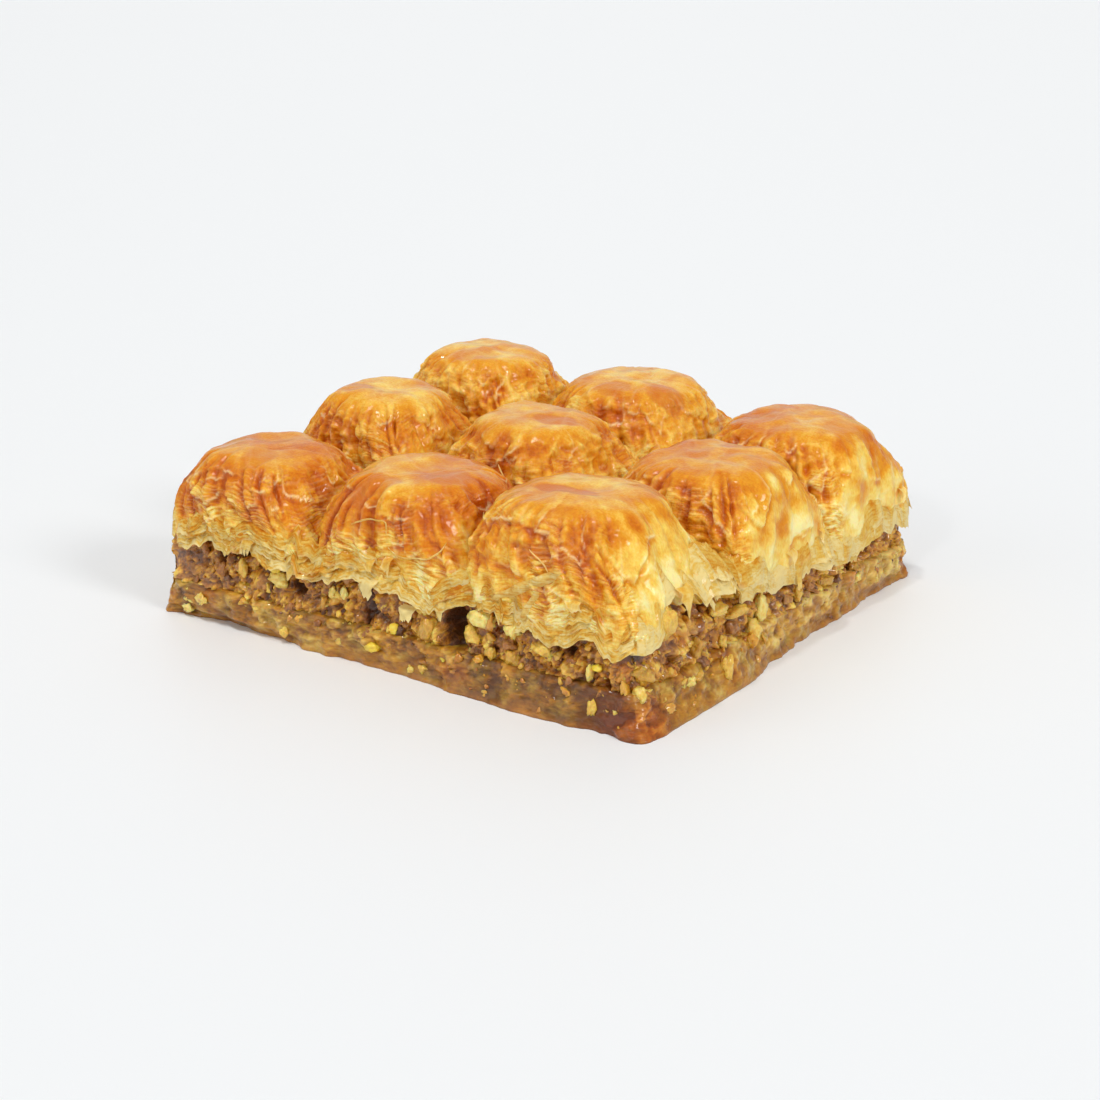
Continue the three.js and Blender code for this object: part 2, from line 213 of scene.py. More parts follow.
# Hollows in the filling, darkened with painted shade: side, position, height, half width, half
# height and depth.
HOLLOWS = (
    (0, 16.5, 12.8, 2.6, 4.8, 6), (0, -6.5, 12, 2, 3.8, 3), (0, -42.5, 18.3, 3.5, 1, 2.5),
    (0, -38.2, 16, 0.9, 2, 2), (0, -26.5, 13.2, 2, 1.6, 3), (0, -24.5, 19, 2.5, 1.2, 2.5),
    (0, -48.5, 16.5, 1.2, 2.2, 2.5), (0, 3, 12.4, 2.4, 0.8, 2), (0, 60, 15.6, 3.4, 1.8, 3.5),
    (0, 45.5, 13.8, 1.1, 1.6, 2), (0, 36.8, 17.3, 0.9, 1.4, 2.5), (0, 54, 9, 2, 1, 1.5),
    (1, -59, 16.6, 5.5, 1.4, 3.5), (1, -46.5, 22.5, 1.2, 2.6, 3.5), (1, -39.5, 20.4, 1.4, 2.2, 3),
    (1, -32, 19.8, 2.4, 1.4, 3), (1, -16, 15.4, 3.2, 1.1, 2.5), (1, -2, 14.2, 5, 1, 2.5),
    (1, 31, 10, 2.2, 3, 4), (1, 38, 12.2, 2.2, 1.8, 4), (1, 50, 14, 4, 0.9, 2),
)

# Places soaked with dark syrup: side, position, height, half width, half height and strength.
SYRUP = (
    (0, 59, 3, 9, 6.5, 1), (1, -60, 3, 6.5, 5.5, 1), (0, 17.5, 4, 3.5, 3, 0.8),
    (0, -62, 4, 2.5, 3, 0.5), (1, 31, 8, 2.6, 5, 0.8), (1, 60, 3, 3, 3, 0.6),
    (1, -29, 6, 3, 4, 0.6), (1, -47, 9, 3, 3, 0.5), (0, 26, 16, 2.2, 2.2, 0.7),
    (0, -28, 6, 3, 3, 0.3), (0, 55, 8, 3, 3, 0.5), (1, -43, 16, 3, 2, 0.5),
    (0, -50, 6.5, 4, 2, 0.4), (0, 59, 12, 3, 3, 0.6),
)

# Torn sheets that hang over the filling: side, position, top, lower end, width, how far out
# they lie and their tone.
TONGUES = (
    (0, -5.2, 20.6, 16.2, 4.6, 63.7, -0.1), (0, 4.7, 15.9, 12.6, 4.4, 63.4, -0.12),
    (0, 13.4, 20, 15, 3.6, 63.2, 0.06), (0, -26, 21.5, 16.4, 6, 63.2, 0.14),
    (1, -44, 27, 21, 5, 63.6, 0.12), (1, 5, 19, 13.6, 6, 63.2, 0.12), (1, 33, 16, 11.2, 6, 63, 0.1),
)

# Kinds of nut that are smooth. Flat breaks of a smooth and of a rough piece: how many, and how
# near the middle the deepest one lies, as a share of the radius.
SMOOTH_NUTS = ("pale", "yellow")
SMOOTH_BREAKS = (4, 0.7)
ROUGH_BREAKS = (9, 0.35)

# How deep a nut piece sinks in, as shares of its radius, and the share of the pieces with skin.
SUNK = (0.2, 0.75)
SKINNED = 0.3

# Nut pieces with a place of their own: kind, side, position, height, radius, stretch along the
# side and stretch up.
NUTS = (
    ("yellow", 0, -31.8, 17, 1.3, 1.1, 1.2), ("yellow", 0, 1, 9.7, 1.3, 1, 1),
    ("yellow", 0, -4.9, 4.7, 1.7, 1.5, 0.8), ("yellow", 0, 14.2, 6, 0.8, 1, 1.2),
    ("yellow", 0, 52.6, 12.6, 1.1, 1.2, 0.8), ("pale", 0, -31.5, 14.3, 2.3, 1.3, 0.9),
    ("pale", 0, -58.5, 4.4, 1.5, 1.3, 0.8), ("pale", 0, -59.2, 2, 1.5, 1.3, 0.8),
    ("pale", 0, -12.6, 15.1, 1.2, 0.9, 1.3), ("pale", 0, 39.5, 13.8, 2, 1.4, 0.8),
    ("pale", 0, 24, 17, 2.7, 1.5, 0.8), ("pale", 0, 21.3, 12.8, 2.2, 1.1, 1.1),
    ("pale", 0, 32, 16.4, 2.1, 1.2, 0.9), ("pale", 0, 26, 10, 1.6, 0.8, 1.3),
    ("flesh", 0, 25, 2, 2, 1.4, 0.8),
    ("pale", 0, 5.6, 1.7, 1.2, 1, 1), ("pale", 0, -29.5, 2.8, 1.3, 1, 1.2),
    ("pale", 0, 52.4, 4.4, 1.5, 0.8, 1.3), ("pale", 0, 51, 11.5, 1.3, 0.6, 1.6),
    ("pale", 0, -41.8, 15, 1.5, 0.8, 1.7), ("pale", 0, -15.8, 14.6, 1.3, 0.8, 1.3),
    ("skin", 0, -11.9, 18.2, 2.1, 1.1, 0.9), ("skin", 0, -6.3, 7.5, 1.6, 1, 1.2),
    ("skin", 0, 22.5, 11.2, 1.9, 1.1, 1), ("skin", 0, 30.5, 13, 2, 1.2, 0.9),
    ("skin", 0, -53, 17, 1.9, 0.8, 1.6), ("skin", 0, -48, 13, 1.8, 0.8, 1.4),
    ("flesh", 0, -41.5, 9.9, 3, 1.4, 0.8), ("flesh", 0, 32, 9.8, 2.7, 0.9, 1.3),
    ("flesh", 0, -53.5, 5, 2, 1.2, 1), ("flesh", 0, -18.5, 12, 1.6, 0.7, 1.6),
    ("flesh", 0, 42.4, 12.8, 1.7, 1.1, 1), ("flesh", 0, -25, 7, 2.2, 1.3, 0.8),
    ("flesh", 0, 9, 2.6, 1.5, 1.2, 0.9), ("flesh", 0, -13.5, 4.4, 2, 1.2, 0.9),
    ("amber", 0, 26.2, 16.8, 2.1, 0.9, 1.3), ("amber", 0, 17.5, 4, 2.6, 1.3, 0.9),
    ("amber", 0, 59.4, 9.4, 1.7, 0.8, 1.9), ("flesh", 0, 10.4, 12, 3.3, 0.95, 1.4),
    ("amber", 0, 25.8, 13.6, 1.6, 1, 1), ("amber", 0, 46, 6.2, 1.5, 1.2, 0.9),
    ("pale", 1, -60, 8, 2.1, 1.1, 1), ("pale", 1, -29.5, 17.4, 2.2, 1.6, 0.7),
    ("pale", 1, -22, 15, 2.4, 1.8, 0.5), ("pale", 1, -12.2, 12.8, 2.2, 0.8, 1.4),
    ("pale", 1, -27.2, 9.6, 1.7, 1, 1), ("pale", 1, -30.4, 5.2, 2.1, 0.7, 1.6),
    ("pale", 1, -43.5, 6.2, 1.4, 1.2, 0.9), ("pale", 1, 34.4, 6.5, 1.4, 1, 1),
    ("pale", 1, 5.4, 10.6, 1.2, 0.7, 1.6), ("flesh", 1, -57.3, 12.2, 3.4, 1.1, 1),
    ("flesh", 1, -38, 12.2, 2.8, 0.9, 1.2), ("flesh", 1, -40.5, 6.5, 2.4, 1.1, 0.9),
    ("flesh", 1, -46, 6.5, 1.9, 1.1, 0.9), ("flesh", 1, 54, 7, 2.6, 1.2, 1.1),
    ("flesh", 1, 20, 9.5, 2.4, 1.4, 1), ("flesh", 1, 35, 9, 2.4, 1.2, 1),
    ("pale", 1, -14.5, 8.4, 2.7, 0.9, 1.3), ("pale", 1, -50.2, 20.4, 3.4, 0.95, 1.25),
    ("amber", 1, -53, 3, 2.2, 1.4, 0.8), ("amber", 1, -30, 6, 1.9, 1, 1.2),
    ("skin", 1, -22.6, 11.4, 2.1, 1.1, 1.1), ("skin", 1, -38.5, 16, 2.1, 1.3, 0.8),
    ("skin", 1, 1.5, 10.5, 2.1, 1, 1.3), ("skin", 1, 11, 11, 1.8, 1, 1),
)

# Where the camera stands, in metres, its turn round the slab in degrees, and how far it looks
# down and leans, in radians. Half the width of the floor, in metres.
CAMERA_STAND = (0.286664, -0.425106, 0.183723)
CAMERA_TURN = 34.08
CAMERA_PITCH = 0.326
CAMERA_ROLL = 0.008
FLOOR_HALF = 8.0


# ------------------------------------------------------------------ numbers and noise

def lerp(low, high, share):
    """The value at a share of the way from low to high."""
    return low + (high - low) * share


def ease(value):
    """A soft step from 0 to 1."""
    t = np.clip(value, 0, 1)
    return t * t * (3 - 2 * t)


def band(value, middle, width):
    """A bump of height 1 round a middle value."""
    return np.exp(-(((value - middle) / width) ** 2))


def way_round(distance):
    """A distance along a crust's four sides, taken the shorter way round."""
    return (distance + 2 * PITCH) % (4 * PITCH) - 2 * PITCH


def chance(seed, count):
    """A fixed random number between 0 and 1, the same as the CAD part's."""
    raw = np.sin(seed * 12.9898 + np.asarray(count) * 78.233) * 43758.5453
    return raw - np.floor(raw)


def lattice(cell, seed):
    """A fixed random number between 0 and 1 for each whole-number cell."""
    mixed = (cell[..., 0] * 73856093) ^ (cell[..., 1] * 19349663) ^ (cell[..., 2] * 83492791)
    mixed = (mixed ^ (seed * 40503 + 977)) & 0xFFFFFFFF
    mixed = ((mixed ^ (mixed >> 15)) * 73244475) & 0xFFFFFFFF
    mixed = ((mixed ^ (mixed >> 13)) * 39916801) & 0xFFFFFFFF
    return ((mixed ^ (mixed >> 16)) & 0xFFFF) / 65535.0


def noise(points, seed):
    """Smooth value noise from -1 to 1, with features about one unit wide."""
    cell = np.floor(points).astype(np.int64)
    t = points - cell
    t = t * t * t * (t * (t * 6 - 15) + 10)
    total = np.zeros(points.shape[:-1])
    for corner in np.ndindex(2, 2, 2):
        step = np.array(corner)
        weight = np.prod(np.where(step, t, 1 - t), axis=-1)
        total += weight * lattice(cell + step, seed)
    return total * 2 - 1


def rough(points, seed, octaves):
    """Noise summed over octaves, about -1 to 1."""
    total, size, reach = 0.0, 1.0, 0.0
    for octave in range(octaves):
        total = total + size * noise(points * 2.03**octave, seed + 17 * octave)
        reach += size
        size *= 0.5
    return total / reach * 1.5


def along_noise(position, seed, height=0.0):
    """Noise along a line."""
    position = np.asarray(position, float)
    rows = np.broadcast_to(np.asarray(height, float), position.shape)
    return noise(np.stack([position, rows, np.full(position.shape, seed * 7.31)], -1), seed)


def cells(points, seed):
    """The nearest of scattered centres, one in each unit cell: how far it is, how much farther
    the next one is, and a random number of its own."""
    cell = np.floor(points).astype(np.int64)
    nearest = np.full(points.shape[:-1], 9.0)
    second = nearest.copy()
    own = np.zeros(points.shape[:-1])
    for corner in np.ndindex(3, 3, 3):
        there = cell + np.array(corner) - 1
        centre = there + np.stack([lattice(there, seed + k) for k in range(3)], -1)
        away = np.linalg.norm(points - centre, axis=-1)
        closer = away < nearest
        second = np.where(closer, nearest, np.minimum(second, away))
        own = np.where(closer, lattice(there, seed + 9), own)
        nearest = np.minimum(nearest, away)
    return nearest, second - nearest, own


# ------------------------------------------------------------------ meshes

def make_piece(name, points, faces, finish, values):
    """A mesh piece from points in mm and arrays of faces, riding on the slab's one body."""
    mesh = bpy.data.meshes.new(name)
    corners = np.concatenate([np.asarray(f).ravel() for f in faces]).astype(np.int32)
    sizes = np.concatenate([np.full(len(f), np.shape(f)[1]) for f in faces])
    starts = np.concatenate([[0], np.cumsum(sizes)[:-1]]).astype(np.int32)
    mesh.vertices.add(len(points))
    mesh.vertices.foreach_set("co", (np.asarray(points) * MM).astype(np.float32).ravel())
    mesh.loops.add(len(corners))
    mesh.loops.foreach_set("vertex_index", corners)
    mesh.polygons.add(len(sizes))
    mesh.polygons.foreach_set("loop_start", starts)
    mesh.update(calc_edges=True)
    mesh.validate()
    mesh.polygons.foreach_set("use_smooth", np.ones(len(mesh.polygons), bool))
    for key, array in values.items():
        attribute = mesh.attributes.new(key, "FLOAT", "POINT")
        attribute.data.foreach_set("value", np.asarray(array, np.float32))
    mesh.materials.append(finish)
    piece = bpy.data.objects.new(name, mesh)
    bpy.context.scene.collection.objects.link(piece)
    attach(piece, "root")
    return piece


def grid_faces(rows, columns):
    """Quads of a plain grid of points, row after row."""
    index = np.arange(rows * columns).reshape(rows, columns)
    quads = np.stack([index[:-1, :-1], index[:-1, 1:], index[1:, 1:], index[1:, :-1]], -1)
    return quads.reshape(-1, 4)


def point_normals(points, faces):
    """Unit normals at the points of a mesh of quads."""
    a, b, c, d = (points[faces[:, k]] for k in range(4))
    across = np.cross(c - a, d - b)
    normals = np.zeros_like(points)
    for k in range(4):
        np.add.at(normals, faces[:, k], across)
    return normals / np.maximum(np.linalg.norm(normals, axis=1, keepdims=True), 1e-9)


def side_point(side, along, out, height):
    """A point beside the slab: along one of its sides, out from the middle, and up."""
    outward = OUTWARD[side]
    forward = np.stack([-outward[..., 1], outward[..., 0]], -1)
    flat = forward * np.asarray(along)[..., None] + outward * np.asarray(out)[..., None]
    return np.concatenate([flat, np.asarray(height)[..., None] * np.ones(flat.shape[:-1] + (1,))], -1)


class Collected:
    """Many small meshes gathered into one piece."""

    def __init__(self):
        """Starts empty, with the faces kept apart by their number of corners."""
        self.points = []
        self.faces = {3: [], 4: []}
        self.values = {}
        self.count = 0

    def add(self, points, faces, **values):
        """Adds one mesh, with each painted value given once or point by point."""
        self.points.append(points)
        self.faces[faces.shape[1]].append(faces + self.count)
        for key, value in values.items():
            spread = np.broadcast_to(np.asarray(value, float), (len(points),))
            self.values.setdefault(key, []).append(spread)
        self.count += len(points)

    def build(self, name, finish, slot):
        """Makes the piece."""
        faces = [np.concatenate(group) for group in self.faces.values() if group]
        values = {key: np.concatenate(parts) for key, parts in self.values.items()}
        points = np.concatenate(self.points)
        return make_piece(name, points, faces, finish, values)


# ------------------------------------------------------------------ finishes

def shade(red, green, blue):
    """A colour given as 0 to 255 on a screen, as the linear colour that shaders use."""
    def linear(value):
        value /= 255
        return value / 12.92 if value <= 0.04045 else ((value + 0.055) / 1.055) ** 2.4
    return (linear(red), linear(green), linear(blue), 1.0)


class Finish:
    """A procedural material, built node by node."""

    def __init__(self, name):
        self.material = bpy.data.materials.new(name)
        self.material.use_nodes = True
        self.nodes = self.material.node_tree.nodes
        self.links = self.material.node_tree.links
        self.nodes.clear()
        self.place = self.node("ShaderNodeTexCoord").outputs["Object"]

    def node(self, kind, inputs=None, **settings):
        """A node with its settings, and with inputs that are values or other nodes' sockets."""
        made = self.nodes.new(kind)
        for key, value in settings.items():
            setattr(made, key, value)
        for key, value in (inputs or {}).items():
            if isinstance(value, bpy.types.NodeSocket):
                self.links.new(value, made.inputs[key])
            else:
                made.inputs[key].default_value = value
        return made

    def attribute(self, name):
        """A painted value of the mesh."""
        return self.node("ShaderNodeAttribute", attribute_name=name).outputs["Fac"]

    def math(self, operation, first, second, third=0.0):
        """One step of arithmetic."""
        inputs = {0: first, 1: second, 2: third}
        return self.node("ShaderNodeMath", inputs, operation=operation).outputs[0]

    def noise(self, size, detail, stretch=(1, 1, 1), distortion=0.0, place=None):
        """Noise from 0 to 1 with features about size mm wide."""
        scaled = self.node("ShaderNodeMapping", {"Vector": place or self.place, "Scale": stretch})
        inputs = {
            "Vector": scaled.outputs[0],
            "Scale": 1 / (size * MM),
            "Detail": detail,
            "Distortion": distortion,
        }
        return self.node("ShaderNodeTexNoise", inputs).outputs["Fac"]

    def vary(self, base, noise, amount):
        """Moves a value up and down by half an amount, with noise from 0 to 1."""
        return self.math("MULTIPLY_ADD", self.math("SUBTRACT", noise, 0.5), amount, base)

    def step(self, value, low, high, most=1.0):
        """Grey that goes from black at low up to most at high."""
        return self.ramp(value, ((low, (0, 0, 0, 1)), (high, (most, most, most, 1))))

    def ramp(self, value, stops):
        """The colour of a value, from stops given as a value and its colour."""
        made = self.node("ShaderNodeValToRGB", {"Fac": value})
        elements = made.color_ramp.elements
        while len(elements) < len(stops):
            elements.new(0.5)
        for element, (position, colour) in zip(elements, stops):
            element.position = position
            element.color = colour
        return made.outputs["Color"]

    def mix(self, share, first, second):
        """A share of the second colour over the first."""
        made = self.node("ShaderNodeMix", data_type="RGBA")
        for place, value in ((0, share), (6, first), (7, second)):
            socket = made.inputs[place]
            if isinstance(value, bpy.types.NodeSocket):
                self.links.new(value, socket)
            else:
                socket.default_value = value
        return made.outputs[2]

    def bump(self, height, depth, normal=None):
        """Relief of a height from 0 to 1, depth mm deep."""
        inputs = {"Height": height, "Distance": depth * MM, "Strength": 1.0}
        if normal is not None:
            inputs["Normal"] = normal
        return self.node("ShaderNodeBump", inputs).outputs[0]

    def surface(self, inputs, thin=0.0):
        """Ends the material. A thin share of the light passes straight through the sheet."""
        shader = self.node("ShaderNodeBsdfPrincipled", inputs).outputs[0]
        if thin:
            through = self.node("ShaderNodeBsdfTranslucent", {"Color": inputs["Base Color"]})
            mixed = self.node("ShaderNodeMixShader", {0: thin, 1: shader, 2: through.outputs[0]})
            shader = mixed.outputs[0]
        self.node("ShaderNodeOutputMaterial", {"Surface": shader})
        return self.material


def pastry_finish(name, looks, thin=0.0):
    """Baked sheets: tone runs from cream at 0 to deep rust at 1."""
    finish = Finish(name)
    tone = finish.attribute("tone")
    rim = finish.attribute("rim")
    toast = finish.attribute("toast")
    cut = finish.attribute("cut")

    flat = finish.node("ShaderNodeSeparateXYZ", {"Vector": finish.place}).outputs
    page = finish.math("MULTIPLY", finish.attribute("page"), MM)
    along_page = finish.node("ShaderNodeCombineXYZ", {"X": flat[0], "Y": flat[1], "Z": page})
    sheets = finish.noise(0.45, 2, (0.2, 0.2, 1), 0.3, along_page.outputs[0])
    sheets = finish.step(sheets, 0.34, 0.66)
    blotches = finish.noise(2.8, 3)
    grain = finish.noise(0.5, 3, (1, 1, 0.5))
    leaves = finish.math("MULTIPLY", finish.math("SUBTRACT", sheets, 0.5), cut)
    depth = finish.math("MULTIPLY_ADD", leaves, 0.44, tone)
    patchy = finish.math("MULTIPLY_ADD", cut, 0.25, 0.3)
    depth = finish.vary(depth, blotches, patchy)
    depth = finish.vary(depth, grain, 0.36)
    colour = finish.ramp(depth, (
        (0.0, tuple(looks.cream) + (1,)),
        (0.22, tuple(looks.straw) + (1,)),
        (0.46, tuple(looks.golden) + (1,)),
        (0.7, tuple(looks.amber) + (1,)),
        (0.96, tuple(looks.rust) + (1,)),
    ))
    colour = finish.mix(toast, colour, tuple(looks.toasted) + (1,))
    # The rim colour makes the sheets' thin edges paler and lays a painted highlight along them.
    colour = finish.mix(rim, colour, tuple(looks.rim) + (1,))

    relief = finish.bump(finish.math("MULTIPLY", sheets, cut), 0.2)
    relief = finish.bump(finish.noise(1.5, 3, (0.8, 0.8, 1.2)), 0.24, relief)
    relief = finish.bump(finish.noise(1.0, 2, (1, 1, 0.7), 1.6), 0.16, relief)
    relief = finish.bump(grain, 0.08, relief)
    return finish.surface({
        "Base Color": colour,
        "Roughness": 0.42,
        "IOR": 1.45,
        "Specular IOR Level": 0.08,
        "Subsurface Weight": 0.0 if thin else looks.translucency,
        "Subsurface Radius": (1.0, 0.45, 0.12),
        "Subsurface Scale": 0.7 * MM,
        "Coat Weight": looks.syrup,
        "Coat Roughness": 0.05,
        "Coat IOR": 1.4,
        "Normal": relief,
    }, thin)


def crumb_finish(name, stops, size, wet, translucency, relief, skins=None):
    """Nuts and crumbs: mottled, each piece a little different in shade. The second ramp, if
    there is one, colours the places with walnut skin."""
    finish = Finish(name)
    own = finish.attribute("shade")
    mottle = finish.noise(size, 4)
    value = finish.vary(own, mottle, 0.9)
    colour = finish.ramp(value, stops)
    if skins:
        colour = finish.mix(finish.attribute("skin"), colour, finish.ramp(value, skins))
        soaked = finish.math("MULTIPLY", finish.attribute("syrup"), 0.75)
        colour = finish.mix(soaked, colour, shade(204, 112, 22))
    bumps = finish.bump(finish.noise(size * 0.5, 3), relief)
    return finish.surface({
        "Base Color": colour,
        "Roughness": finish.math("MULTIPLY_ADD", mottle, 0.3, 0.3),
        "Subsurface Weight": translucency,
        "Subsurface Radius": (1.0, 0.55, 0.25),
        "Subsurface Scale": 0.8 * MM,
        "Coat Weight": wet,
        "Coat Roughness": 0.07,
        "Normal": bumps,
    })


def nut_finishes():
    """The finishes of the filling's kinds of pieces."""
    skins = (
        (0.0, shade(80, 40, 8)), (0.35, shade(130, 78, 26)),
        (0.65, shade(174, 112, 44)), (1.0, shade(212, 156, 74)),
    )
    return {
        "crumb": crumb_finish("walnut_crumb", (
            (0.0, shade(96, 50, 6)), (0.22, shade(156, 92, 15)), (0.46, shade(202, 134, 25)),
            (0.72, shade(230, 172, 46)), (1.0, shade(250, 216, 96)),
        ), 1.2, 0.65, 0.6, 0.4, skins),
        "skin": crumb_finish("walnut_skin", skins, 0.8, 0.6, 0.4, 0.35),
        "flesh": crumb_finish("walnut_flesh", (
            (0.0, shade(142, 90, 14)), (0.35, shade(188, 132, 30)),
            (0.7, shade(220, 172, 58)), (1.0, shade(242, 210, 104)),
        ), 1.3, 0.7, 0.8, 0.4),
        "pale": crumb_finish("pale_nut", (
            (0.0, shade(184, 120, 26)), (0.35, shade(220, 164, 48)),
            (0.7, shade(242, 202, 84)), (1.0, shade(252, 232, 138)),
        ), 0.9, 0.6, 0.6, 0.4),
        "amber": crumb_finish("amber_crumb", (
            (0.0, shade(120, 60, 4)), (0.5, shade(188, 118, 16)), (1.0, shade(234, 178, 58)),
        ), 1.3, 0.9, 0.7, 0.3),
        "yellow": crumb_finish("yellow_nut", (
            (0.0, shade(184, 134, 8)), (0.5, shade(228, 186, 22)), (1.0, shade(250, 224, 80)),
        ), 1.2, 0.5, 0.4, 0.1),
    }


def soaked_finish():
    """Pressed sheets soaked with syrup: mottled, with olive and brown blots, paler at the floor
    and darker where the syrup sits."""
    finish = Finish("soaked_pastry")
    own_shade = finish.attribute("shade")
    height = finish.node("ShaderNodeSeparateXYZ", {"Vector": finish.place}).outputs["Z"]
    fine = finish.noise(0.8, 3, (0.25, 0.25, 1), 0.5)
    grain = finish.noise(0.9, 3, (0.5, 0.5, 1))
    blotch = finish.noise(2.4, 3)
    value = finish.vary(own_shade, grain, 0.45)
    value = finish.vary(value, fine, 0.45)
    value = finish.vary(value, blotch, 0.5)
    colour = finish.ramp(value, (
        (0.05, shade(104, 60, 10)), (0.28, shade(146, 92, 18)), (0.5, shade(178, 120, 28)),
        (0.72, shade(202, 150, 50)), (0.98, shade(234, 196, 100)),
    ))
    olive = finish.ramp(value, (
        (0.1, shade(128, 90, 24)), (0.5, shade(184, 146, 54)), (0.9, shade(232, 206, 116)),
    ))
    colour = finish.mix(finish.step(finish.noise(5, 2), 0.47, 0.62, 0.8), colour, olive)
    brown = finish.ramp(value, (
        (0.1, shade(92, 52, 16)), (0.5, shade(142, 88, 32)), (0.9, shade(192, 136, 62)),
    ))
    colour = finish.mix(finish.step(finish.noise(3.2, 2), 0.56, 0.66, 0.75), colour, brown)
    ragged = finish.math("MULTIPLY_ADD", blotch, 1.2, 0.35)
    near_floor = finish.math("MULTIPLY_ADD", height, -1 / (1.6 * MM), ragged)
    near_floor = finish.node("ShaderNodeClamp", {"Value": near_floor}).outputs[0]
    colour = finish.mix(finish.math("MULTIPLY", near_floor, 0.5), colour, shade(184, 116, 40))
    soaked = finish.ramp(value, (
        (0.1, shade(110, 44, 1)), (0.5, shade(166, 80, 6)), (0.9, shade(212, 132, 38)),
    ))
    colour = finish.mix(finish.math("MULTIPLY", finish.attribute("syrup"), 0.85), colour, soaked)
    relief = finish.bump(fine, 0.3)
    relief = finish.bump(grain, 0.25, relief)
    return finish.surface({
        "Base Color": colour,
        "Roughness": 0.36,
        "Specular IOR Level": 0.2,
        "Subsurface Weight": 0.6,
        "Subsurface Radius": (1.0, 0.5, 0.16),
        "Subsurface Scale": 1.5 * MM,
        "Coat Weight": 0.6,
        "Coat Roughness": 0.06,
        "Normal": relief,
    })


# ------------------------------------------------------------------ domed crusts

def foot_lift(points):
    """How far above the crust's bottom its foot ends, where the skirt leaves the nuts bare."""
    lift = np.zeros(points.shape[:-1])
    for side in SIDES:
        depth = BLOCK_HALF - points[..., :2] @ OUTWARD[side]
        position = points[..., 0 if side in (FRONT, BACK) else 1]
        bare = np.maximum(skirt_height(side, position) + 0.9 - CRUST_BOTTOM, 0)
        lift = np.maximum(lift, bare * (1 - ease((depth - 1) / 7)))
    return lift


